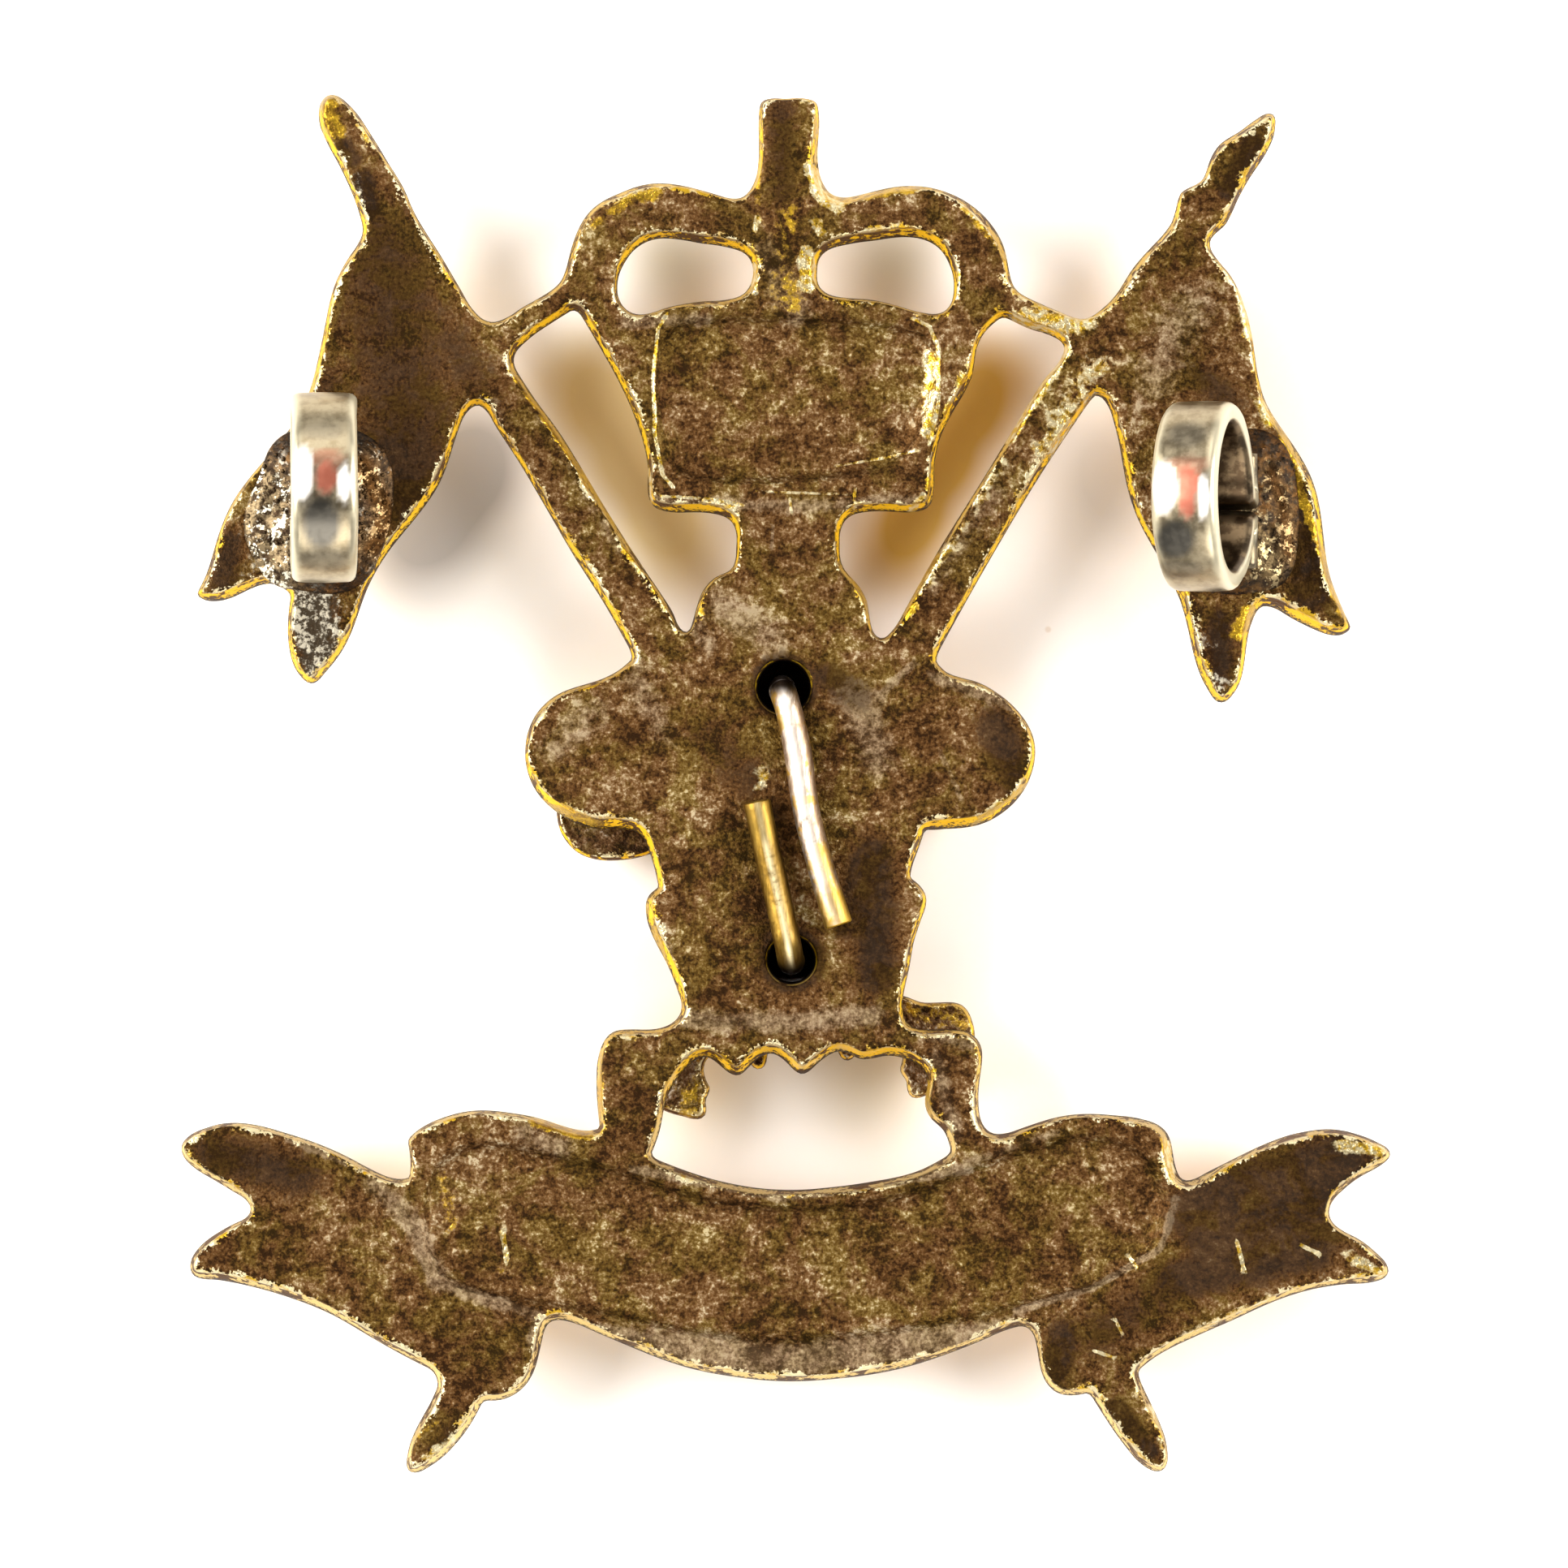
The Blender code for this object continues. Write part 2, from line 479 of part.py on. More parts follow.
BOSS_REAR = PLATE_FRONT + BOSS_OVERLAP
cap_boss = flat_curve("cap_boss", [CAP_RECESS], CAP_FRONT, BOSS_REAR, CAP_CHAMFER)
apply_boolean(plate, as_mesh(cap_boss, tools), "UNION")
scroll_boss = flat_curve(
    "scroll_boss", [SCROLL_RECESS], SCROLL_FRONT, BOSS_REAR, SCROLL_CHAMFER
)
apply_boolean(plate, as_mesh(scroll_boss, tools), "UNION")
for number, (low_end, high_end) in enumerate(SHAFTS):
    run = Vector(high_end) - Vector(low_end)
    shaft = cylinder(f"lance_shaft_{number}", SHAFT_RADIUS, 0.0, run.length, SHAFT_SIDES)
    shaft.rotation_euler = (math.radians(90), 0.0, math.atan2(run.y, run.x) + math.radians(90))
    centre = (Vector(low_end) + Vector(high_end)) / 2
    shaft.location = (centre.x * MM, centre.y * MM, (PLATE_FRONT + 0.1) * MM)
    apply_boolean(plate, shaft, "UNION")

RECESS_FLOOR = PLATE_REAR - RECESS_DEPTH
RECESS_TOP = PLATE_REAR + RECESS_SLOPE + 0.1
for label, edge in (("cap_recess", CAP_RECESS), ("scroll_recess", SCROLL_RECESS)):
    cut = flat_curve(label, [edge], RECESS_FLOOR, RECESS_TOP, RECESS_SLOPE)
    apply_boolean(plate, as_mesh(cut, tools), "DIFFERENCE")
for label, hole, radius in (
    ("upper_hole", UPPER_HOLE, UPPER_HOLE_RADIUS),
    ("lower_hole", LOWER_HOLE, LOWER_HOLE_RADIUS),
):
    cut = cylinder(label, radius, PLATE_FRONT - 1, PLATE_REAR + 1)
    cut.location.x = hole[0] * MM
    cut.location.y = hole[1] * MM
    apply_boolean(plate, cut, "DIFFERENCE")

# The plume mount: three plain feathers over a plain ribbon, one pressing.
plume_edge = turned(both_halves((0.0, 3.6), PLUME_RIGHT_HALF, (0.0, -8.5)))
plume_curve = flat_curve("plume_mount", [plume_edge], PLUME_FRONT, PLUME_REAR, MOUNT_CHAMFER)
plume = as_mesh(plume_curve, parts, white_metal)
for number, (centre, radius) in enumerate(FEATHER_TIPS):
    x, y = turned([centre])[0]

    def tip(shape, size=radius):
        bmesh.ops.create_uvsphere(shape, u_segments=20, v_segments=10, radius=size * MM)
        bmesh.ops.scale(shape, vec=(1, 1, PLUME_REAR / 2 / size), verts=shape.verts)

    knob = primitive(f"feather_tip_{number}", tools, tip)
    knob.location = (x * MM, y * MM, PLUME_REAR / 2 * MM)
    apply_boolean(plume, knob, "UNION")
wire_way = cylinder("wire_way", LOWER_HOLE_RADIUS, 0.0, PLUME_REAR + 1)
wire_way.location.x = LOWER_HOLE[0] * MM
wire_way.location.y = LOWER_HOLE[1] * MM
apply_boolean(plume, wire_way, "DIFFERENCE")

# The band over the feathers' quills, on the very front.
band_edge = turned(both_halves((0.0, -3.65), BAND_RIGHT_HALF, (0.0, -6.6)))
band_curve = flat_curve("band_mount", [band_edge], 0.0, BAND_REAR, MOUNT_CHAMFER, 4)
band = as_mesh(band_curve, parts, band_gilt)

# The wires come up through the plate and are bent over to lie on its rear.
upper_wire = wire(
    "upper_fixing_wire",
    [
        (-0.1, 3.12, PLATE_FRONT), (-0.09, 3.1, 3.5), (-0.03, 2.93, 4.25),
        (0.12, 2.45, WIRE_LYING), (0.42, 1.0, WIRE_LYING), (0.72, -0.9, WIRE_LYING),
        (1.18, -2.7, WIRE_LYING), (1.77, -4.62, WIRE_LYING),
    ],
    silvered,
)
lower_wire = wire(
    "lower_fixing_wire",
    [
        (0.2, -5.85, BAND_REAR + GAP), (0.19, -5.8, 3.3), (0.15, -5.62, 4.2),
        (0.04, -5.0, WIRE_LYING), (-0.22, -3.9, WIRE_LYING), (-0.58, -2.3, WIRE_LYING),
        (-0.92, -0.62, WIRE_LYING),
    ],
    brass,
)

# The loops and the solder that holds them.
strip_loop("left_loop", LEFT_LOOP_PLACE, LEFT_LOOP_LEAN, LEFT_RING_SHIFT, loop_metal)
strip_loop("right_loop", RIGHT_LOOP_PLACE, RIGHT_LOOP_LEAN, RIGHT_RING_SHIFT, loop_metal)
solder("left_loop_solder", LEFT_SOLDER_EDGE, LEFT_LOOP_PLACE, solder_metal)
solder("right_loop_solder", RIGHT_SOLDER_EDGE, RIGHT_LOOP_PLACE, solder_metal)

for made in (plate, plume, band):
    smooth(made, 30)
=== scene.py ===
# %% [markdown]
# # A die-struck cap badge, lying face down
# The badge is a stamping of gilt brass, pierced so that the ground shows between its parts.
# A plume and its band are held on the front by two wires, which come through the plate and
# are bent over on the rear. Two loops of flat strip are soldered on the lances' pennons.
# The imported solids give every place and size; this script gives the pieces their worn look, with
# painted highlights, reflections and shade in places.

# %% Load the imported badge
import math

import bmesh
import bpy
import numpy as np
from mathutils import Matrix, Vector, geometry, kdtree


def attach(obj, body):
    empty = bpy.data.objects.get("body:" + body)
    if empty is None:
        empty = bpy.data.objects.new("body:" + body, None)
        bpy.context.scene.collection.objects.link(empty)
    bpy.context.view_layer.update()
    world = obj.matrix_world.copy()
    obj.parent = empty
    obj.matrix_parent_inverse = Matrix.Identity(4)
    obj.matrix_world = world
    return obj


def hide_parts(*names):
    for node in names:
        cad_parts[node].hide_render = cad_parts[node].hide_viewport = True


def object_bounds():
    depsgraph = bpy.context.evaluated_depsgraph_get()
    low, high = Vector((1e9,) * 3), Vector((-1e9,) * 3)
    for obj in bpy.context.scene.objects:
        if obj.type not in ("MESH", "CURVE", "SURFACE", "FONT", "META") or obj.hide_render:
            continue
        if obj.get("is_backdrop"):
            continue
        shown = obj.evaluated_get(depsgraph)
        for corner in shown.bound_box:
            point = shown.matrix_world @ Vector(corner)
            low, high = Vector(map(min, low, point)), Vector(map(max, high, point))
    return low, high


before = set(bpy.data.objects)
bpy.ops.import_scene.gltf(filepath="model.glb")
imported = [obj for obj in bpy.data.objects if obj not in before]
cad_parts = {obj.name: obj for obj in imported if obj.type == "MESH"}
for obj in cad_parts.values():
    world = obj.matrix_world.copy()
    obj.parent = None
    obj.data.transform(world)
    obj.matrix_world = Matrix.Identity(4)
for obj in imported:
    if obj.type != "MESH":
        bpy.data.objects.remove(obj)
cad_box = [list(corner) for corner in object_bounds()]
MM = 0.001
print("CAD box, mm:", [[round(v / MM, 2) for v in corner] for corner in cad_box])

# %% [markdown]
# ## Shader arithmetic
# A pattern is easier to read as a sum than as a web of boxes, so a socket is wrapped in a
# class whose operators add Math nodes. Colours go through Mix nodes, because a Math node
# would turn a colour grey.

# %% A socket that takes part in sums, and the sheet of nodes it belongs to
class Value:
    def __init__(self, sheet, socket):
        self.sheet = sheet
        self.socket = socket

    def math(self, operation, *others):
        sockets = dict(enumerate((self,) + others))
        return self.sheet.make("ShaderNodeMath", {"operation": operation}, sockets)

    def __add__(self, other):
        return self.math("ADD", other)

    def __sub__(self, other):
        return self.math("SUBTRACT", other)

    def __mul__(self, other):
        return self.math("MULTIPLY", other)

    def __neg__(self):
        return self * -1

    def __rsub__(self, other):
        return self.sheet.make("ShaderNodeMath", {"operation": "SUBTRACT"}, {0: other, 1: self})

    __radd__ = __add__
    __rmul__ = __mul__

    def clamp(self):
        return self.sheet.make("ShaderNodeClamp", {}, {"Value": self})

    def largest(self, other):
        return self.math("MAXIMUM", other)

    def ramp(self, low, high, to_low=0.0, to_high=1.0):
        """An eased step from to_low to to_high as this value goes from low to high."""
        sockets = {"Value": self, "From Min": low, "From Max": high}
        sockets.update({"To Min": to_low, "To Max": to_high})
        return self.sheet.make(
            "ShaderNodeMapRange", {"interpolation_type": "SMOOTHSTEP"}, sockets
        )


class Sheet:
    """The nodes of one material, or of the sky."""

    def __init__(self, owner):
        owner.use_nodes = True
        self.owner = owner
        self.tree = owner.node_tree
        self.shader = self.tree.nodes.get("Principled BSDF")

    def feed(self, socket, value):
        if isinstance(value, Value):
            self.tree.links.new(value.socket, socket)
        else:
            socket.default_value = value

    def make(self, kind, settings=None, sockets=None, out=0):
        node = self.tree.nodes.new(kind)
        for key, setting in (settings or {}).items():
            if key == "stops":
                elements = node.color_ramp.elements
                while len(elements) < len(setting):
                    elements.new(0.5)
                for element, (at, colour) in zip(elements, setting):
                    element.position = at
                    element.color = (*colour, 1.0)
            else:
                setattr(node, key, setting)
        for key, value in (sockets or {}).items():
            self.feed(node.inputs[key], value)
        return Value(self, node.outputs[out])

    def split(self, vector):
        """The three numbers of a vector."""
        node = self.make("ShaderNodeSeparateXYZ", {}, {0: vector}).socket.node
        return [Value(self, socket) for socket in node.outputs]

    def tones(self, share, stops):
        """A colour for each value of share, from a list of (position, colour)."""
        return self.make("ShaderNodeValToRGB", {"stops": stops}, {"Fac": share})

    def place(self, scale=(1, 1, 1), turn=0.0, shift=(0, 0, 0)):
        """Places on the badge in millimetres, stretched and turned about Z."""
        here = self.make("ShaderNodeTexCoord", out="Object")
        sizes = tuple(axis / MM for axis in scale)
        turned = (0.0, 0.0, math.radians(turn))
        return self.make(
            "ShaderNodeMapping", {},
            {"Vector": here, "Scale": sizes, "Rotation": turned, "Location": shift},
        )

    def noise(self, per_mm, detail=3.0, rough=0.55, warp=0.0, at=None, shift=(0, 0, 0)):
        sockets = {
            "Vector": at or self.place(shift=shift), "Scale": per_mm, "Detail": detail,
            "Roughness": rough, "Distortion": warp,
        }
        return self.make("ShaderNodeTexNoise", {}, sockets)

    def cells(self, per_mm, feature="F1", at=None):
        sockets = {"Vector": at or self.place(), "Scale": per_mm}
        return self.make("ShaderNodeTexVoronoi", {"feature": feature}, sockets)

    def mark(self, name):
        """A number that the mesh carries at each of its points."""
        return self.make("ShaderNodeAttribute", {"attribute_name": name}, out="Fac")

    def mix(self, share, first, second):
        first = (*first, 1.0) if isinstance(first, tuple) else first
        second = (*second, 1.0) if isinstance(second, tuple) else second
        return self.make(
            "ShaderNodeMix", {"data_type": "RGBA"}, {0: share, 6: first, 7: second}, out=2
        )

    def bump(self, height, depth_mm, strength=1.0):
        sockets = {"Height": height, "Distance": depth_mm * MM, "Strength": strength}
        return self.make("ShaderNodeBump", {}, sockets)

    def finish(self, colour, metallic, roughness, normal=None):
        self.feed(self.shader.inputs["Base Color"], colour)
        self.feed(self.shader.inputs["Metallic"], metallic)
        self.feed(self.shader.inputs["Roughness"], roughness)
        if normal:
            self.feed(self.shader.inputs["Normal"], normal)
        return self.owner


# %% [markdown]
# ## Outlines
# Every stamped piece is a flat blank cut to an outline. The outlines are read off the packed
# solids, so a piece here is as wide as its solid. A blank's cut corners are never quite
# sharp, and cutting each corner of the outline twice rounds them by a tenth of a millimetre.

# %% Read a solid's outlines at one height
def level_loops(node, height):
    """The closed outlines that a node's edges draw at one height, in millimetres."""
    mesh = bmesh.new()
    mesh.from_mesh(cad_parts[node].data)
    bmesh.ops.remove_doubles(mesh, verts=mesh.verts, dist=2e-6)
    level = {v for v in mesh.verts if abs(v.co.z / MM - height) < 0.004}
    onward = {v: [] for v in level}
    for edge in mesh.edges:
        first, second = edge.verts
        if first in level and second in level:
            onward[first].append(second)
            onward[second].append(first)
    loops, seen = [], set()
    for start in sorted(level, key=lambda v: v.index):
        if start in seen or len(onward[start]) < 2:
            continue
        loop, here, before = [], start, None
        while here not in seen:
            seen.add(here)
            loop.append((here.co.x / MM, here.co.y / MM))
            steps = [v for v in onward[here] if v is not before and v not in seen]
            if not steps:
                break
            before, here = here, steps[0]
        if len(loop) > 5:
            loops.append(np.array(loop))
    mesh.free()
    return sorted(loops, key=lambda loop: -abs(area(loop)))


def area(loop):
    x, y = loop[:, 0], loop[:, 1]
    return 0.5 * float(np.sum(x * np.roll(y, -1) - np.roll(x, -1) * y))


def corner_cut(loop, rounds=2):
    for _ in range(rounds):
        after = np.roll(loop, -1, axis=0)
        pairs = [0.75 * loop + 0.25 * after, 0.25 * loop + 0.75 * after]
        loop = np.stack(pairs, axis=1).reshape(-1, 2)
    return loop


def even_steps(line, step, closed=True):
    ring = np.vstack([line, line[:1]]) if closed else np.asarray(line, float)
    at = np.concatenate([[0.0], np.cumsum(np.linalg.norm(np.diff(ring, axis=0), axis=1))])
    count = max(3, int(round(at[-1] / step)))
    wanted = np.linspace(0, at[-1], count + 1)[:count if closed else None]
    return np.stack([np.interp(wanted, at, ring[:, axis]) for axis in range(ring.shape[1])], 1)


class Outline:
    """Loops sampled in even steps, with the material on the left of each: the first loop
    runs anticlockwise round the piece, the others clockwise round its openings."""

    def __init__(self, loops, step):
        self.loops = []
        for index, loop in enumerate(loops):
            smooth = even_steps(corner_cut(loop), step)
            if (area(smooth) > 0) != (index == 0):
                smooth = smooth[::-1]
            self.loops.append(smooth)
        self.points = np.vstack(self.loops)
        self.after, self.before = self._turn(-1), self._turn(1)
        along = self.points[self.after] - self.points[self.before]
        along /= np.linalg.norm(along, axis=1)[:, None]
        self.inward = np.stack([-along[:, 1], along[:, 0]], axis=1)
        self.tree = kdtree.KDTree(len(self.points))
        for index, point in enumerate(self.points):
            self.tree.insert((point[0], point[1], 0.0), index)
        self.tree.balance()

    def _turn(self, by):
        found, first = [], 0
        for loop in self.loops:
            found.append(first + np.roll(np.arange(len(loop)), by))
            first += len(loop)
        return np.concatenate(found)

    def eased(self, values, rounds=6):
        """Values at the samples, averaged along each loop."""
        for _ in range(rounds):
            values = (values[self.before] + 2 * values + values[self.after]) / 4
        return values

    def reach(self, places):
        """Each place's distance from the loops, and its nearest sample."""
        nearest = np.array([self.tree.find((x, y, 0.0))[1] for x, y in places])
        found = np.full(len(places), np.inf)
        for ends in (self.before, self.after):
            start = self.points[nearest]
            run = self.points[ends[nearest]] - start
            share = np.sum((places - start) * run, 1) / np.maximum(np.sum(run * run, 1), 1e-12)
            foot = start + np.clip(share, 0, 1)[:, None] * run
            found = np.minimum(found, np.linalg.norm(places - foot, axis=1))
        return found, nearest

    def holds(self, places):
        """Whether each place lies inside the piece and outside its openings."""
        inside = np.zeros(len(places), bool)
        start, end = self.points, self.points[self.after]
        for low in range(0, len(places), 1500):
            x = places[low:low + 1500, :1]
            y = places[low:low + 1500, 1:]
            spans = (start[:, 1] > y) != (end[:, 1] > y)
            rise = end[:, 1] - start[:, 1]
            rise = np.where(np.abs(rise) < 1e-12, 1e-12, rise)
            cross = start[:, 0] + (y - start[:, 1]) * (end[:, 0] - start[:, 0]) / rise
            inside[low:low + 1500] = np.sum(spans & (x < cross), axis=1) % 2 == 1
        return inside


# %% [markdown]
# ## From an outline to a stamping
# A stamping has two faces, and seen from either side each point of it has one height. So
# both faces can share one net of triangles over the outline, and a rule gives each point its
# height at the rear and at the front. The net is fine at the cut edges, where the metal
# turns over and rubs bright, and coarse between. Delaunay triangles are made for that.

# %% Noise, strokes and the net
def drift(places, size, seed):
    """Smooth random values from -1 to 1 that change over about size millimetres."""
    lattice = np.random.default_rng(seed).uniform(-1, 1, (64, 64))
    spot = places / size + 31.7
    cell = np.floor(spot).astype(int)
    share = spot - cell
    share = share * share * (3 - 2 * share)
    corner = lambda i, j: lattice[(cell[:, 0] + i) % 64, (cell[:, 1] + j) % 64]
    low = corner(0, 0) * (1 - share[:, 0]) + corner(1, 0) * share[:, 0]
    high = corner(0, 1) * (1 - share[:, 0]) + corner(1, 1) * share[:, 0]
    return low * (1 - share[:, 1]) + high * share[:, 1]


def eased_step(values, low, high):
    share = np.clip((values - low) / (high - low), 0, 1)
    return share * share * (3 - 2 * share)


def from_line(places, line):
    """Each place's distance from a line of points."""
    nearest = np.full(len(places), np.inf)
    line = np.asarray(line, float)
    for start, end in zip(line[:-1], line[1:]):
        run = end - start
        share = np.clip(((places - start) @ run) / max(run @ run, 1e-12), 0, 1)
        away = np.linalg.norm(places - start - share[:, None] * run, axis=1)
        nearest = np.minimum(nearest, away)
    return nearest


def strokes(places, marks):
    """How strongly soft strokes mark each place. A stroke is x, y, x, y and so on along its
    line, then its half width and its strength."""
    total = np.zeros(len(places))
    for *line, half, strength in marks:
        away = from_line(places, np.reshape(line, (-1, 2)))
        total = np.maximum(total, strength * np.exp(-((away / half) ** 2)))
    return total


def new_piece(name, points, faces, material, marks):
    """An object made of points in millimetres, carrying the marks as numbers."""
    mesh = bpy.data.meshes.new(name)
    mesh.from_pydata((np.asarray(points) * MM).tolist(), [], faces)
    mesh.validate()
    turned_out = bmesh.new()
    turned_out.from_mesh(mesh)
    bmesh.ops.recalc_face_normals(turned_out, faces=turned_out.faces)
    turned_out.to_mesh(mesh)
    turned_out.free()
    for label, values in marks.items():
        layer = mesh.attributes.new(label, "FLOAT", "POINT")
        layer.data.foreach_set("value", np.asarray(values, np.float32))
    mesh.shade_smooth()
    mesh.materials.append(material)
    made = bpy.data.objects.new(name, mesh)
    bpy.context.scene.collection.objects.link(made)
    print(name, "has", len(faces), "faces")
    return made


WALL_SHARES = (0.3, 0.6, 0.85)
RIM_STEPS = (0.0, 0.05, 0.11, 0.19, 0.3)
CLOSEST = 0.035
CROWDED = 0.95 * CLOSEST
ALL_MARKS = ("deep", "pitted", "smoke", "rubbed", "golden", "shade", "inset")


class Net:
    """Points and triangles over an outline, with each point's distance from the edge."""

    def __init__(self, outline, flare, spacing, lines=()):
        self.outline, self.kept = outline, []
        self._near_edge(flare, lines)
        self._between(flare, spacing)
        self._triangles()
        self.away, near = outline.reach(self.places)
        self.flare = flare[near]
        self.on_edge = self.away < 1e-5
        self.inset = self.away - self.flare

    def _near_edge(self, flare, lines):
        """Keeps the edge, rings of points inside it, and rows beside each of the lines."""
        taken = {}

        def keep(x, y):
            taken[(int(x // CLOSEST), int(y // CLOSEST))] = (x, y)
            self.kept.append((x, y))

        def offer(places, least_away):
            away, _ = self.outline.reach(places)
            for x, y in places[(away > least_away) & self.outline.holds(places)]:
                row, column = int(x // CLOSEST), int(y // CLOSEST)
                beside = (-1, 0, 1)
                around = [taken.get((row + i, column + j)) for i in beside for j in beside]
                if not any(o and (o[0] - x) ** 2 + (o[1] - y) ** 2 < CROWDED ** 2 for o in around):
                    keep(x, y)

        for x, y in self.outline.points:
            keep(x, y)
        offsets = [flare * share for share in WALL_SHARES]
        offsets += [flare + step for step in RIM_STEPS]
        for offset in offsets:
            offer(self.outline.points + self.outline.inward * offset[:, None], 0.93 * offset)
        for line, sides in lines:
            run = np.gradient(line, axis=0)
            run /= np.maximum(np.linalg.norm(run, axis=1), 1e-9)[:, None]
            side = np.stack([-run[:, 1], run[:, 0]], axis=1)
            for offset in sides:
                offer(line + side * offset, 0.25)

    def _between(self, flare, spacing):
        """Fills the middle with rows of points, each a little out of place."""
        low, high = self.outline.points.min(0), self.outline.points.max(0)
        field = []
        for index, y in enumerate(np.arange(low[1], high[1], spacing * 0.866)):
            xs = np.arange(low[0] + spacing * 0.5 * (index % 2), high[0], spacing)
            field.append(np.stack([xs, np.full(len(xs), y)], axis=1))
        field = np.vstack(field)
        field += np.random.default_rng(5).uniform(-0.12, 0.12, field.shape) * spacing
        away, near = self.outline.reach(field)
        field = field[away > flare[near] + RIM_STEPS[-1] + 0.5 * spacing]
        crowd = kdtree.KDTree(len(self.kept))
        for index, (x, y) in enumerate(self.kept):
            crowd.insert((x, y, 0.0), index)
        crowd.balance()
        self.kept += [(x, y) for x, y in field[self.outline.holds(field)]
                      if crowd.find((x, y, 0.0))[2] > 0.45 * spacing]

    def _triangles(self):
        rims = list(enumerate(self.outline.after.tolist()))
        found = geometry.delaunay_2d_cdt([Vector(p) for p in self.kept], rims, [], 0, 1e-6)
        self.places = np.array([(v.x, v.y) for v in found[0]])
        faces = np.array([tuple(face) for face in found[2]])
        faces = faces[self.outline.holds(self.places[faces].mean(axis=1))]
        first, second, third = (self.places[faces[:, corner]] for corner in range(3))
        turn = np.cross(second - first, third - first)
        faces[turn < 0] = faces[turn < 0][:, ::-1]
        self.faces = faces

    def stamped(self, name, rear, front, material, marks):
        """A closed object between the two faces' heights, which meet at the edge."""
        count = len(self.places)
        under = np.where(~self.on_edge)[0]
        index_under = np.arange(count)
        index_under[under] = count + np.arange(len(under))
        points = np.vstack([np.column_stack([self.places, rear]),
                            np.column_stack([self.places[under], front[under]])])
        marks = {label: np.concatenate([values, values[under]]) for label, values in marks.items()}
        marks["wall"] = np.concatenate([self.away / self.flare, np.ones(len(under))]).clip(0, 1)
        marks["front"] = np.concatenate([np.zeros(count), np.ones(len(under))])
        for label in ALL_MARKS:
            marks.setdefault(label, np.zeros(len(points)))
        faces = np.vstack([self.faces, index_under[self.faces][:, ::-1]])
        return new_piece(name, points, faces.tolist(), material, marks)


# %% [markdown]
# ## The finishes
# The rear was gilt once. It has toned to a mottle of brown, olive and grey, in grains a
# tenth to a third of a millimetre across, and every edge that a finger or cloth reaches has
# rubbed back to pale metal. The cut walls kept more of their gold. Each finish is therefore a
# mottle of noises. The mesh carries numbers, or marks, that say where it is darkened, smoked
# grey, pitted, gilt or rubbed, where a painted highlight, a painted reflection or a painted
# shade in a fixing hole lies, and how far each point lies from the edge. Walls that face up
# the badge are painted a duller brown, as painted shade.

# %% Toned and rubbed stamping metal
DARK, BLUE_BLACK, BROWN = (0.026, 0.012, 0.0045), (0.030, 0.021, 0.0145), (0.092, 0.041, 0.0125)
GOLD, RIM, SMOKE = (0.52, 0.315, 0.022), (0.70, 0.60, 0.36), (0.30, 0.215, 0.13)
WALL_GOLD, FRONT_GOLD = (0.84, 0.50, 0.012), (0.86, 0.50, 0.03)
BROWN_TONES = [(0.04, DARK), (0.36, BROWN), (0.58, (0.148, 0.075, 0.027)),
               (0.80, (0.26, 0.165, 0.080)), (1.0, (0.46, 0.37, 0.23))]
OLIVE_TONES = [(0.04, (0.026, 0.016, 0.004)), (0.36, (0.090, 0.052, 0.009)),
               (0.62, (0.155, 0.100, 0.020)), (0.84, (0.27, 0.195, 0.065)),
               (1.0, (0.48, 0.40, 0.21))]


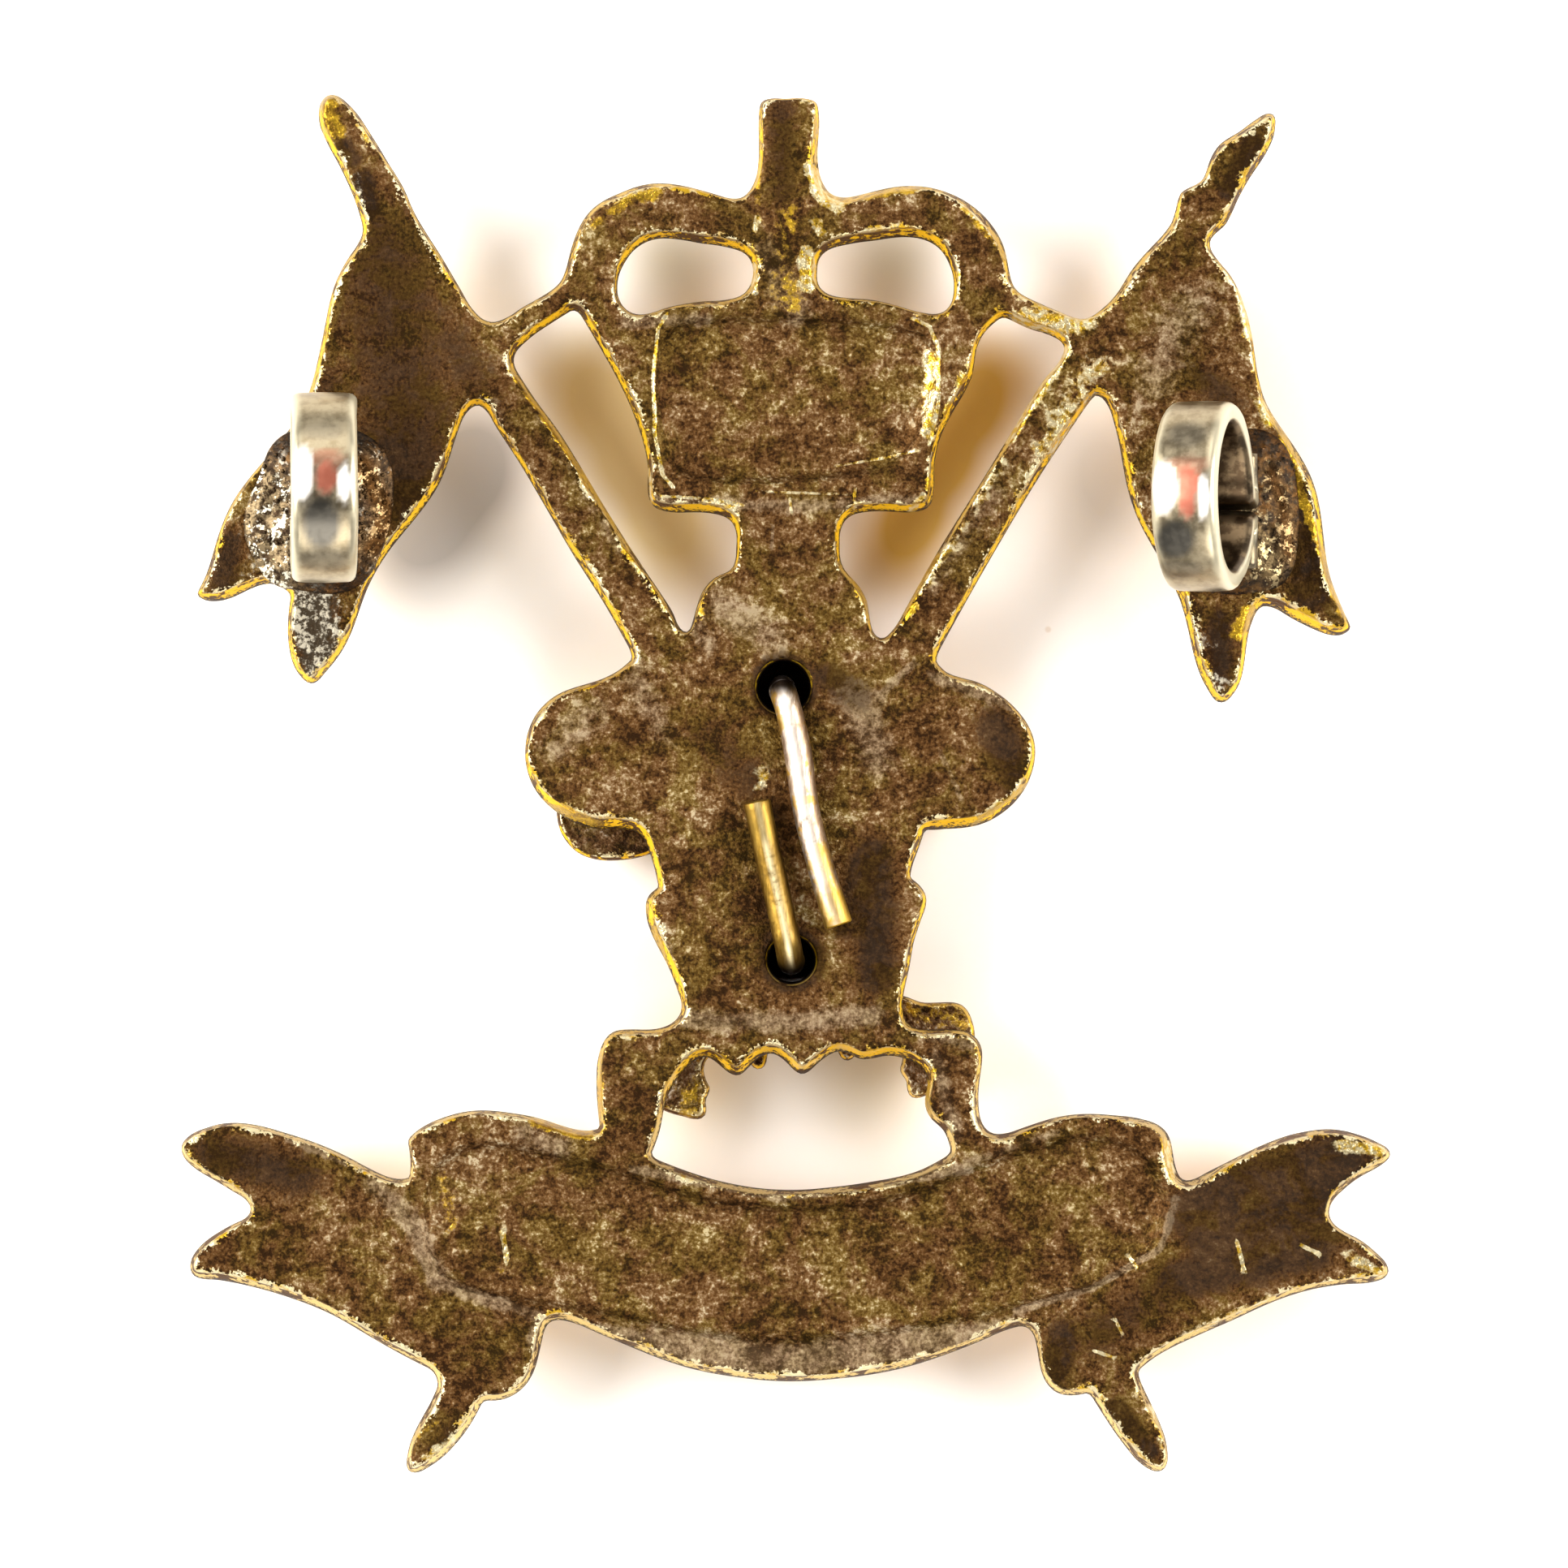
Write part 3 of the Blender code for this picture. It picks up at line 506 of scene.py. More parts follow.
def stamping_metal(name, gain=(1.0, 1.0, 1.0), seed=0.0):
    sheet = Sheet(bpy.data.materials.new(name))
    broad = sheet.noise(0.30, 5.0, 0.66, 0.4, shift=(seed, seed * 0.7, 0.0)) - 0.5
    blotch = sheet.noise(1.2, 4.0, 0.66, 0.5, shift=(seed + 3.0, 5.0, 0.0)) - 0.5
    grain = sheet.noise(3.4, 3.0, 0.66, shift=(seed, 0.0, 0.0)) - 0.5
    fine = sheet.noise(9.0, 2.0, 0.6) - 0.5
    hue = sheet.noise(0.6, 5.0, 0.70, 0.5, shift=(seed + 9.0, 3.0, 0.0))
    uneven = broad * 1.5 + blotch * 1.25 + grain * 1.6 + fine * 1.4
    patchwork = broad * 1.3 + blotch * 1.4 + grain * 1.3
    inset, side = sheet.mark("inset"), sheet.mark("wall")

    def blotchy(label, least=0.34, most=0.66):
        mark = sheet.mark(label)
        return (mark + patchwork * 0.75).ramp(least, most) * mark.ramp(0.02, 0.22)

    rubbed, golden, pitted = blotchy("rubbed"), blotchy("golden"), blotchy("pitted")
    shade, smoke = blotchy("shade", 0.22, 0.78), blotchy("smoke", 0.24, 0.76)
    tinted = lambda stops: [
        (at, tuple(c * g for c, g in zip(colour, gain))) for at, colour in stops]
    tone = uneven * (1.05 - shade * 0.32) + 0.42 - shade * 0.24 + smoke * 0.10
    colour = sheet.mix(
        hue.ramp(0.43, 0.60) * 0.68, sheet.tones(tone, tinted(BROWN_TONES)),
        sheet.tones(tone, tinted(OLIVE_TONES)))
    ashen = sheet.mix((patchwork + fine * 1.2).ramp(-0.34, 0.36), (0.085, 0.052, 0.026), SMOKE)
    colour = sheet.mix(smoke * 0.62, colour, ashen)
    black = sheet.mix(hue.ramp(0.44, 0.54), BLUE_BLACK, DARK)
    colour = sheet.mix(shade * 0.55, colour, black)
    pits = (blotch * 1.6 + grain * 2.4 + fine * 1.6).ramp(-0.10, 0.42)
    silvery = sheet.mix(pits, (0.050, 0.036, 0.022), (0.48, 0.43, 0.33))
    colour = sheet.mix(pitted, colour, silvery)

    patchy = sheet.noise(0.75, 4.0, 0.68, 0.4, shift=(4.0, seed, 0.0)) - 0.5
    rim_width = patchy * 0.95 + grain * 0.5 + fine * 0.5 + 0.03
    worn = (inset - rim_width).ramp(0.03, -0.03) * side.ramp(0.72, 0.95)
    colour = sheet.mix(worn, colour, sheet.mix(blotch.ramp(-0.12, 0.04), GOLD, RIM))
    stain = (patchy * 1.6 + blotch * 1.3 + grain * 1.2).ramp(-0.02, 0.14)
    _, up_badge, _ = sheet.split(sheet.place())
    paler = ((up_badge * 0.10 + patchy * 1.2).ramp(-0.85, -1.15) * 0.75).clamp()
    wall_colour = sheet.mix(paler, WALL_GOLD, (0.66, 0.50, 0.24))
    # Painted shade: walls whose faces turn up the badge are painted a duller brown.
    _, facing_up, _ = sheet.split(sheet.make("ShaderNodeNewGeometry", out="Normal"))
    wall_colour = sheet.mix(facing_up.ramp(0.05, 0.5) * 0.7, wall_colour, (0.34, 0.235, 0.10))
    wall_colour = sheet.mix(stain, wall_colour, BROWN)
    wall_colour = sheet.mix((side + fine * 1.2).ramp(0.36, 0.12), wall_colour, DARK)
    leaning = side.ramp(0.96, 0.80)
    colour = sheet.mix(leaning, colour, wall_colour)
    colour = sheet.mix(golden * 0.9, colour, sheet.mix(
        (grain + blotch).ramp(-0.16, 0.14), (0.20, 0.105, 0.012), GOLD))
    # Rubbed wear, and the painted highlights that share its mark, in pale gold.
    colour = sheet.mix(rubbed * 0.85, colour, sheet.mix(grain.ramp(-0.1, 0.1), GOLD, RIM))
    colour = sheet.mix(sheet.mark("front"), colour, sheet.mix(
        blotch.ramp(-0.1, 0.1), (0.52, 0.29, 0.02), FRONT_GOLD))
    # Painted shade inside the fixing holes, near black.
    colour = sheet.mix(sheet.mark("deep"), colour, (0.006, 0.003, 0.002))

    roughness = 0.60 - worn.largest(rubbed).largest(golden) * 0.24 + fine * 0.3
    height = blotch * 1.4 + grain * 1.3 + fine * 0.7
    metallic = 1.0 - leaning * 0.6 - sheet.mark("front") * 0.8
    sheet.shader.inputs["Specular IOR Level"].default_value = 0.08
    return sheet.finish(colour, metallic.clamp(), roughness, sheet.bump(height, 0.05, 1.0))


gilt = stamping_metal("toned_gilt")
white_metal = stamping_metal("toned_white_metal", gain=(1.05, 1.15, 1.5), seed=23.0)
print("stamping finishes:", gilt.name, white_metal.name)

# %% [markdown]
# ## The backing plate
# The plate was punched from the front through a die, so its cut walls lean outwards below
# the rear face, by a tenth of a millimetre in most places and up to four tenths on the lower
# sides. The rear has two shallow hollows, behind the crown's cap and behind the scroll.

# %% The plate's outlines and how far its walls lean
PLATE_REAR, PLATE_FRONT, EDGE_HEIGHT = 3.9, 2.6, 2.8
RECESS_DEPTH = 0.45
UPPER_HOLE, UPPER_HOLE_RADIUS = (-0.05, 3.2), 0.85
LOWER_HOLE, LOWER_HOLE_RADIUS = (0.2, -5.8), 0.76
PLATE_CUT, PLUME_CUT, BAND_CUT = 3.75, 2.18, 0.68
HOLLOW_MIDDLES = ((0.3, 12.6), (0.3, -15.0))


def circle(centre, radius, count=24):
    turn = np.arange(count) * 2 * math.pi / count
    return np.stack([centre[0] + radius * np.cos(turn), centre[1] + radius * np.sin(turn)], 1)


def from_holes(places):
    """Each place's distance from the middle of the nearer fixing hole."""
    return np.min([np.linalg.norm(places - hole, axis=1) for hole in (UPPER_HOLE, LOWER_HOLE)], 0)


plate_rim, *inner_loops = level_loops("backing_plate", PLATE_CUT)
recess_loops, window_loops = [], []
for loop in inner_loops:
    in_hollow = any(np.linalg.norm(loop.mean(0) - spot) < 3.0 for spot in HOLLOW_MIDDLES)
    (recess_loops if in_hollow else window_loops).append(loop)
holes = [circle(UPPER_HOLE, UPPER_HOLE_RADIUS), circle(LOWER_HOLE, LOWER_HOLE_RADIUS)]
plate_edge = Outline([plate_rim] + window_loops + holes, 0.125)
print(len(window_loops), "windows,", len(recess_loops), "hollows,", len(plate_edge.points),
      "edge points")

down = np.clip(plate_edge.inward[:, 1], 0, 1)
flare = 0.13 + 0.13 * down + 0.05 * drift(plate_edge.points, 1.6, 3)
for centre, size, extra in (
    ((-6.5, -1.4), 2.2, 0.14), ((6.5, -1.3), 2.0, 0.12), ((0.5, -9.2), 4.0, 0.10),
    ((6.8, 18.6), 1.5, 0.10), ((17.4, 10.0), 2.5, 0.12), ((-4.2, -5.8), 1.8, 0.12),
    ((12.7, -12.2), 1.0, 0.22), ((-6.2, -10.0), 1.2, 0.08), ((16.6, 5.4), 1.6, 0.12),
    ((-17.8, 6.3), 1.5, 0.08), ((1.4, 19.6), 1.0, 0.15),
):
    away = np.linalg.norm(plate_edge.points - centre, axis=1)
    flare = flare + extra * np.exp(-((away / size) ** 2))
flare = np.where(from_holes(plate_edge.points) < 1.0, 0.07, plate_edge.eased(flare))

# %% Local wear and painted highlights: rubbed places, gilt that survived, and darker areas
RUBBED_AND_GLINTS = [
    (0.78, 20.3, 1.2, 19.3, 1.75, 19.0, 0.2, 1.2), (1.0, 18.6, 1.2, 18.2, 0.22, 0.8),
    (0.7, 17.6, 0.72, 16.4, 0.24, 1.25), (-1.05, 17.1, -1.0, 16.2, 0.12, 1.1),
    (-0.9, 18.7, -1.05, 18.2, 0.12, 0.9), (7.9, 15.3, 9.9, 15.2, 0.5, 0.75),
    (9.3, 14.3, 7.4, 11.4, 0.2, 1.0), (10.4, 14.0, 8.6, 11.2, 0.7, 0.5),
    (7.2, 10.6, 4.4, 6.2, 0.3, 0.5), (1.7, 10.5, 3.2, 10.75, 4.4, 11.0, 0.05, 0.8),
    (-4.1, 9.5, -2.5, 9.4, -1.4, 9.2, 0.06, 0.9), (-1.0, 9.65, 2.2, 9.55, 0.05, 0.7),
    (2.3, 9.6, 2.25, 9.1, 0.06, 1.1), (4.2, 9.1, 4.55, 9.5, 0.14, 0.9),
    (-4.4, 9.2, -4.5, 10.4, 0.06, 0.9), (0.15, 9.4, 0.2, 9.0, 0.05, 0.9),
    # The strokes along the cap hollow's side walls near x = -4.3 and x = 4.7 to 5.1, and the short
    # tick at (-9.3, -15.3), are painted highlights; the other strokes are rubbed wear.
    (-3.9, 15.5, -4.2, 15.0, -4.35, 13.5, -4.3, 11.5, -4.05, 10.2, -3.7, 9.8, 0.06, 1.3),
    (4.2, 15.35, 4.75, 15.1, 5.05, 14.4, 5.05, 12.5, 4.75, 11.2, 0.055, 1.3),
    (4.8, 14.1, 4.7, 11.6, 0.24, 0.75), (12.62, -11.9, 12.75, -13.0, 0.14, 1.0),
    (-0.7, 0.5, -0.8, -0.2, 0.18, 0.9), (-9.32, -14.8, -9.2, -15.7, 0.11, 1.1),
    (11.35, -15.6, 11.6, -15.95, 0.07, 1.0), (14.9, -15.1, 15.1, -15.9, 0.06, 1.0),
    (17.0, -15.2, 17.6, -15.5, 0.07, 0.9), (10.9, -17.7, 11.1, -18.1, 0.06, 0.9),
    (10.2, -18.7, 10.8, -18.9, 0.05, 0.9), (18.3, -11.9, 19.6, -12.1, 0.28, 0.9),
    (18.6, -15.6, 19.6, -16.1, 0.25, 0.8), (16.0, -16.9, 12.4, -18.5, 0.16, 0.5),
    (12.1, -20.6, 12.4, -21.9, 0.16, 0.6), (-10.9, -21.6, -11.9, -22.2, 0.2, 0.6),
    (15.6, 12.6, 16.0, 11.9, 0.25, 0.6), (15.3, 14.8, 15.0, 16.2, 0.2, 0.7),
]
GOLDEN = [
    (-11.3, -12.9, -11.0, -14.6, 0.3, 0.42), (-10.2, -15.9, -8.0, -16.5, 0.25, 0.36),
    (15.0, 17.0, 16.0, 13.0, 17.0, 9.6, 18.4, 5.6, 0.2, 0.85),
    (-6.2, 18.5, -5.2, 19.2, -4.2, 19.5, 0.24, 0.6),
    (1.1, 20.1, 1.35, 19.5, 2.0, 19.3, 0.26, 0.9),
    (0.2, 18.8, -0.2, 17.2, 0.2, 15.9, 0.7, 0.55), (2.2, 19.3, 4.4, 19.7, 0.16, 0.8),
    (5.9, 19.0, 7.3, 17.4, 0.16, 0.6), (5.0, 7.5, 3.5, 5.2, 0.16, 0.9),
    (2.9, 5.4, 2.5, 6.4, 1.95, 7.4, 0.14, 0.8), (-8.9, 13.4, -4.6, 7.2, 0.12, 0.8),
    (7.3, 15.2, 5.1, 11.0, 0.12, 0.7), (-8.2, -11.15, -6.5, -11.6, 0.22, 0.9),
    (4.62, -9.9, 4.7, -11.0, 0.2, 1.0), (14.95, 4.95, 15.3, 5.7, 0.26, 1.1),
    (-4.6, -4.0, -3.4, -7.4, 0.1, 0.6), (-6.1, -8.8, -6.1, -11.1, 0.12, 0.7),
    (12.45, -11.7, 12.65, -12.8, 0.12, 0.7), (-14.9, 21.6, -15.1, 22.5, 0.4, 0.85),
    # The stroke from (0.55, 3.9) to (0.85, 3.4) is a painted golden reflection on the upper hole's
    # right rim.
    (-15.9, 12.0, -15.0, 16.2, 0.22, 0.55), (0.55, 3.9, 0.85, 3.4, 0.12, 0.8),
    (-8.0, -0.6, -6.0, -1.4, 0.16, 0.7), (6.2, -1.35, 8.0, 0.0, 0.14, 0.7),
    (-13.5, -22.4, -11.4, -21.0, 0.12, 0.5), (-0.9, 18.6, -0.9, 21.9, 0.14, 0.6),
    (1.05, 20.6, 1.05, 22.0, 0.14, 0.6),
]
SHADED = [
    (-13.2, 17.6, -12.7, 13.5, -12.4, 9.6, 2.3, 0.62), (-15.0, 13.0, -13.5, 9.0, 1.2, 0.55),
    (-0.1, 22.2, -0.1, 19.4, 0.6, 0.6), (14.4, -13.9, 18.6, -13.4, 1.9, 0.9),
    (10.2, -18.2, 13.6, -16.2, 1.1, 0.55), (14.0, -14.4, 18.2, -12.6, 1.3, 1.05),
    (12.8, -16.4, 17.4, -15.4, 0.8, 0.9), (2.9, -2.4, 3.0, -6.3, 0.8, 0.9),
    (1.9, -4.8, 2.4, -2.6, 0.35, 0.9), (-18.9, -12.2, -16.0, -12.9, 0.9, 0.75),
    (-13.9, 19.9, -13.7, 18.9, 0.38, 1.2), (-14.6, 21.0, -14.3, 20.6, 0.3, 0.9),
    (15.4, 21.2, 14.6, 19.6, 0.38, 1.1), (9.2, -18.2, 8.9, -19.4, 0.6, 0.9),
    (10.9, -20.6, 12.0, -22.0, 0.35, 1.1), (13.6, 13.6, 14.6, 12.6, 0.7, 0.6),
    (16.3, 10.8, 17.2, 8.4, 17.4, 6.4, 0.7, 1.3), (14.4, 3.8, 14.3, 5.4, 0.5, 0.9),
    (-13.0, 10.9, -12.4, 9.2, 0.75, 1.1), (-15.6, 4.3, -15.5, 6.0, 0.7, 0.7),
    (-18.3, 8.0, -18.5, 6.6, 0.5, 0.8), (-10.7, -20.9, -11.6, -22.0, 0.35, 0.7),
    (-0.4, -1.0, -0.6, -6.0, 0.6, 0.6), (-2.6, 1.6, -1.2, 0.2, 1.0, 0.5),
    (7.0, 1.9, 7.6, 0.3, 0.8, 0.8), (1.2, 3.6, 2.4, 2.9, 0.6, 0.7),
    (-4.5, -5.0, -3.2, -7.0, 0.5, 0.4), (-11.0, 14.6, -10.0, 12.8, 1.0, 0.5),
]
SMOKED = [
    (-12.1, -15.4, -11.6, -16.5, 0.1, 1.1), (-12.9, -13.9, -11.9, -15.4, 0.12, 1.0),
    (2.5, 2.6, 3.0, 0.9, 0.85, 0.75), (3.0, 1.9, 3.2, 3.0, 4.3, 4.0, 0.14, 0.85),
    (5.1, 1.1, 5.8, -0.5, 0.1, 0.7), (-4.0, -7.7, 0.0, -7.9, 3.0, -7.6, 0.45, 0.8),
    (-5.0, 3.6, -4.0, 1.6, 0.7, 0.55), (-7.6, 1.2, -6.2, 2.4, 0.8, 0.5),
    (-2.3, 5.9, -0.4, 4.8, 0.8, 0.55), (-4.2, 9.3, 0.0, 9.15, 4.2, 9.35, 0.3, 0.7),
    (-0.4, 8.5, -0.45, 7.8, 0.06, 0.9), (-0.6, 17.6, 0.4, 15.6, 0.7, 0.7),
    (-5.3, 15.2, -2.6, 15.35, 0.3, 0.7), (-9.9, 12.9, -9.2, 11.9, 0.35, 0.5),
    (4.6, 6.0, 7.0, 9.8, 0.4, 0.55), (-8.3, 12.4, -5.4, 7.6, 0.25, 0.45),
    (-8.0, -18.2, 0, -19.0, 7.5, -18.2, 0.62, 1.1),
    (-5.0, -12.7, 0, -13.62, 6.0, -12.7, 0.2, 1.0), (6.0, -12.5, 9.0, -11.5, 0.2, 0.6),
    (-13.6, -13.2, -12.3, -14.4, -11.4, -16.4, 0.45, 0.75),
    (-11.6, -16.4, -8.0, -17.6, 0.26, 0.9), (12.9, -13.6, 12.4, -15.3, 10.2, -16.6, 0.12, 1.0),
    (10.2, -16.6, 7.6, -17.4, 0.14, 1.0), (-8.6, -11.6, -7.4, -12.0, 0.5, 0.7),
    (-3.6, 6.3, -2.6, 4.6, 0.5, 0.6), (5.0, -9.0, 5.6, -11.6, 0.35, 0.8),
    (-15.6, 6.2, -15.4, 4.4, 0.35, 0.6), (13.4, 15.6, 12.2, 13.2, 1.3, 0.55),
    (-4.9, -3.6, -3.9, -5.6, 0.3, 0.7), (7.9, 2.4, 4.8, 3.6, 0.25, 0.8),
    (4.6, -8.3, 6.2, -8.6, 0.25, 0.7), (-16.4, -11.7, -14.2, -12.6, 0.16, 0.9),
]

PITTED = [
    (-15.5, 6.3, -15.3, 3.4, 1.1, 0.8), (13.9, 4.6, 14.2, 3.0, 0.7, 0.45),
    (-17.6, 6.8, -17.9, 8.6, 0.4, 0.3), (-14.1, 20.0, -14.0, 18.6, 0.25, 0.5),
]

# %% The net, its heights and the finished plate
recess_edges = [Outline([loop], 0.14) for loop in recess_loops]
lines = [(edge.points, (-0.10, 0.0, 0.08, 0.16, 0.24, 0.34)) for edge in recess_edges]
for *line, half, _ in RUBBED_AND_GLINTS + GOLDEN + SMOKED + SHADED:
    if half < 0.17:
        fine_line = even_steps(np.reshape(line, (-1, 2)), 0.12, closed=False)
        lines.append((fine_line, (-1.5 * half, -0.6 * half, 0.6 * half, 1.5 * half)))
plate_net = Net(plate_edge, flare, 0.30, lines)


def recess_share(net, edge):
    """How far each point has sunk into a hollow, from 0 to 1, and its depth inside the rim."""
    away, _ = edge.reach(net.places)
    signed = np.where(edge.holds(net.places), away, -away)
    return eased_step(signed, -0.05, 0.42), signed


def rear_heights(net, rear, edge_height, lip=0.07):
    """A wall that leans in from the edge, a turned-over lip, and the flat rear."""
    share = np.clip(net.away / net.flare, 0, 1)
    wall = edge_height + (rear - lip - edge_height) * share ** 0.8
    face = rear - lip * np.clip(1 - net.inset / 0.16, 0, 1) ** 2
    return np.where(net.inset < 0, wall, face)


rear = rear_heights(plate_net, PLATE_REAR, EDGE_HEIGHT)
(scroll_share, scroll_signed), (cap_share, cap_signed) = sorted(
    (recess_share(plate_net, edge) for edge in recess_edges),
    key=lambda found: plate_net.places[found[1].argmax(), 1])
for share in (scroll_share, cap_share):
    rear -= RECESS_DEPTH * 0.75 * share
rear += 0.02 * (drift(plate_net.places, 2.2, 8) - 1) * np.clip(plate_net.inset / 0.3, 0, 1)

LANCES = [((5.15, 6.2), (14.6, 20.9)), ((-5.1, 6.2), (-14.6, 21.5))]
x, y = plate_net.places.T
front = PLATE_FRONT + (EDGE_HEIGHT - PLATE_FRONT) * np.clip(1 - plate_net.away / 0.25, 0, 1) ** 2
pillow = np.sqrt(np.clip(plate_net.away / 0.8, 0, 1))
front -= 0.40 * pillow * eased_step(y, 15.2, 15.8) * (np.abs(x) < 7.6)
front -= 0.25 * pillow * eased_step(-y, -5.0, -3.0)
for start, end in LANCES:
    away = from_line(plate_net.places, [start, end])
    front -= 0.45 * np.sqrt(np.clip(1 - (away / 0.6) ** 2, 0, 1)) * (plate_net.away > 0.1)
pennon = eased_step(np.abs(x), 9.6, 10.6) * eased_step(y, 4.0, 6.0)
front -= 0.12 * pennon * (1 + np.sin(1.6 * y + 0.7 * np.abs(x))) * pillow
front -= 1.15 * np.sqrt(np.clip(cap_signed / 2.4, 0, 1)) * cap_share
front -= 0.65 * scroll_share - 0.12 * np.exp(-((scroll_signed - 0.75) / 0.18) ** 2)
front = np.maximum(front, 1.3)

marks = {label: strokes(plate_net.places, rows) for label, rows in (
    ("rubbed", RUBBED_AND_GLINTS), ("golden", GOLDEN), ("shade", SHADED), ("smoke", SMOKED),
    ("pitted", PITTED))}
hole_near = from_holes(plate_net.places)
marks["inset"] = plate_net.inset + 0.5 * eased_step(-hole_near, -1.3, -1.0)
# Painted shade round and inside the fixing holes: a darker ring about each hole, and near black on
# its walls.
marks["shade"] = np.maximum(marks["shade"], 0.7 * eased_step(-hole_near, -1.35, -0.95))
marks["deep"] = eased_step(-hole_near, -1.2, -1.1) * (plate_net.inset < 0.02)
plate = plate_net.stamped("backing_plate_struck", rear, front, gilt, marks)

# %% [markdown]
# ## The plume mount and its band
# Three plain feathers curl over at their tips, above a plain ribbon. It is one pressing of
# white metal under the plate, so only its left curl, a tab on the right and two leaf tips
# show from behind. The pressing's rear carries the barbs as fine curved grooves.

# %% Feathers by rule: barbs follow arcs round each curl
MOUNT_TURN = math.radians(5.5)
MOUNT_CENTRE = np.array([0.0, -3.0])


def turned(places):
    cos, sin = math.cos(MOUNT_TURN), math.sin(MOUNT_TURN)
    away = np.asarray(places, float) - MOUNT_CENTRE
    return MOUNT_CENTRE + np.stack(
        [away[..., 0] * cos - away[..., 1] * sin, away[..., 0] * sin + away[..., 1] * cos], -1)


FEATHER_TIPS = [((0.0, 2.1), 1.3), ((5.75, -0.1), 1.5), ((-5.75, -0.1), 1.5)]
plume_hole = circle(LOWER_HOLE, LOWER_HOLE_RADIUS)
plume_loop = level_loops("plume_mount", PLUME_CUT)[0]
over_hole = np.exp(-(plume_loop[:, 0] / 1.5) ** 4) * eased_step(plume_loop[:, 1], 1.8, 3.0)
plume_loop = plume_loop + over_hole[:, None] * (0.0, 0.95)
plume_edge = Outline([plume_loop, plume_hole], 0.14)
plume_net = Net(plume_edge, np.full(len(plume_edge.points), 0.08), 0.16)
plume_front, plume_rear, plume_mid = 1.1, 2.3, 1.75
rear = rear_heights(plume_net, plume_rear, plume_mid, 0.06)
front = plume_front + (plume_mid - plume_front) * np.clip(1 - plume_net.away / 0.3, 0, 1) ** 2
for centre, radius in FEATHER_TIPS:
    middle = turned(centre)
    away = np.linalg.norm(plume_net.places - middle, axis=1)
    ribs = np.sin(2 * math.pi * away / 0.36)
    ribs = ribs * eased_step(away, 0.6, 1.2) * eased_step(-away, -3.6, -2.6)
    rear += 0.035 * (ribs - 1) * np.clip(plume_net.inset / 0.2, 0, 1)
    half = plume_rear / 2
    knob = half - half * np.sqrt(np.clip(1 - (away / radius) ** 2, 0, 1))
    front = np.where(away < radius, np.minimum(front, np.maximum(knob, 0.0)), front)
marks = {
    "inset": plume_net.inset,
    "golden": strokes(plume_net.places, [
        (-3.1, -10.2, -3.0, -10.9, 0.7, 0.40), (4.4, -7.5, 5.8, -7.6, 0.7, 0.45)]),
    # Painted shade where the plume shows through the fixing holes.
    "deep": strokes(plume_net.places, [
        (-0.1, 3.7, 0.0, 2.9, 1.9, 3.0), (0.2, -5.8, 0.2, -5.6, 1.6, 3.0)]).clip(0, 1),
}
plume = plume_net.stamped("plume_pressing", rear, front, white_metal, marks)

# %% The band, with a beaded edge
band_edge = Outline(level_loops("band_mount", BAND_CUT)[:1], 0.14)
band_net = Net(band_edge, np.full(len(band_edge.points), 0.1), 0.2)
rear = rear_heights(band_net, 0.8, 0.45, 0.05)
front = 0.12 + 0.33 * np.clip(1 - band_net.away / 0.25, 0, 1) ** 2
front -= 0.05 * eased_step(np.sin(2.2 * band_net.places[:, 0]), 0.0, 0.6) * np.clip(
    band_net.inset / 0.4, 0, 1)
marks = {
    "inset": band_net.inset, "golden": np.full(len(band_net.places), 0.4),
    # Painted shade where the band shows through the lower hole.
    "deep": strokes(band_net.places, [(0.2, -5.8, 0.2, -5.6, 1.2, 3.0)]).clip(0, 1),
}
band = band_net.stamped("band_pressing", rear, np.maximum(front, 0.05), gilt, marks)

# %% [markdown]
# ## Beads and barbs that follow a line
# The crown's arches carry pearls, the band has a beaded edge, and each feather has barbs.
# All of them repeat along a line, which is what Geometry Nodes are for: a tree samples the
# line evenly and puts a bead on each sample, or sweeps a thin rib along it.

# %% Trees for a row of beads and for ribs
def geometry_tree(name, inputs):
    tree = bpy.data.node_groups.new(name, "GeometryNodeTree")
    tree.interface.new_socket("Geometry", in_out="INPUT", socket_type="NodeSocketGeometry")
    kinds = {float: "NodeSocketFloat", int: "NodeSocketInt"}
    for label, value in inputs.items():
        socket = tree.interface.new_socket(label, in_out="INPUT", socket_type=kinds[type(value)])
        socket.default_value = value
    tree.interface.new_socket("Geometry", in_out="OUTPUT", socket_type="NodeSocketGeometry")
    start, end = tree.nodes.new("NodeGroupInput"), tree.nodes.new("NodeGroupOutput")

    def add(kind, settings=None, sockets=None):
        node = tree.nodes.new(kind)
        for key, setting in (settings or {}).items():
            setattr(node, key, setting)
        for key, value in (sockets or {}).items():
            if isinstance(value, bpy.types.NodeSocket):
                tree.links.new(value, node.inputs[key])
            else:
                node.inputs[key].default_value = value
        return node

    return tree, start.outputs, end.inputs, add


def close_tree(tree, geometry_socket, material, end, add):
    real = add("GeometryNodeRealizeInstances", {}, {"Geometry": geometry_socket})
    shaded = add("GeometryNodeSetMaterial", {},
                 {"Geometry": real.outputs[0], "Material": material})
    tree.links.new(shaded.outputs[0], end[0])
    return tree


def bead_tree(name, material, seed):
    tree, given, end, add = geometry_tree(name, {"Spacing": 0.001, "Radius": 0.0003, "Seed": seed})
    even = add("GeometryNodeResampleCurve", {"mode": "LENGTH"},
               {"Curve": given["Geometry"], "Length": given["Spacing"]})
    ball = add("GeometryNodeMeshIcoSphere", {}, {"Radius": given["Radius"], "Subdivisions": 2})
    size = add("FunctionNodeRandomValue", {"data_type": "FLOAT"},
               {2: 0.9, 3: 1.08, "Seed": given["Seed"]})
    beads = add("GeometryNodeInstanceOnPoints", {}, {
        "Points": even.outputs[0], "Instance": ball.outputs[0], "Scale": size.outputs[1]})
    return close_tree(tree, beads.outputs[0], material, end, add)


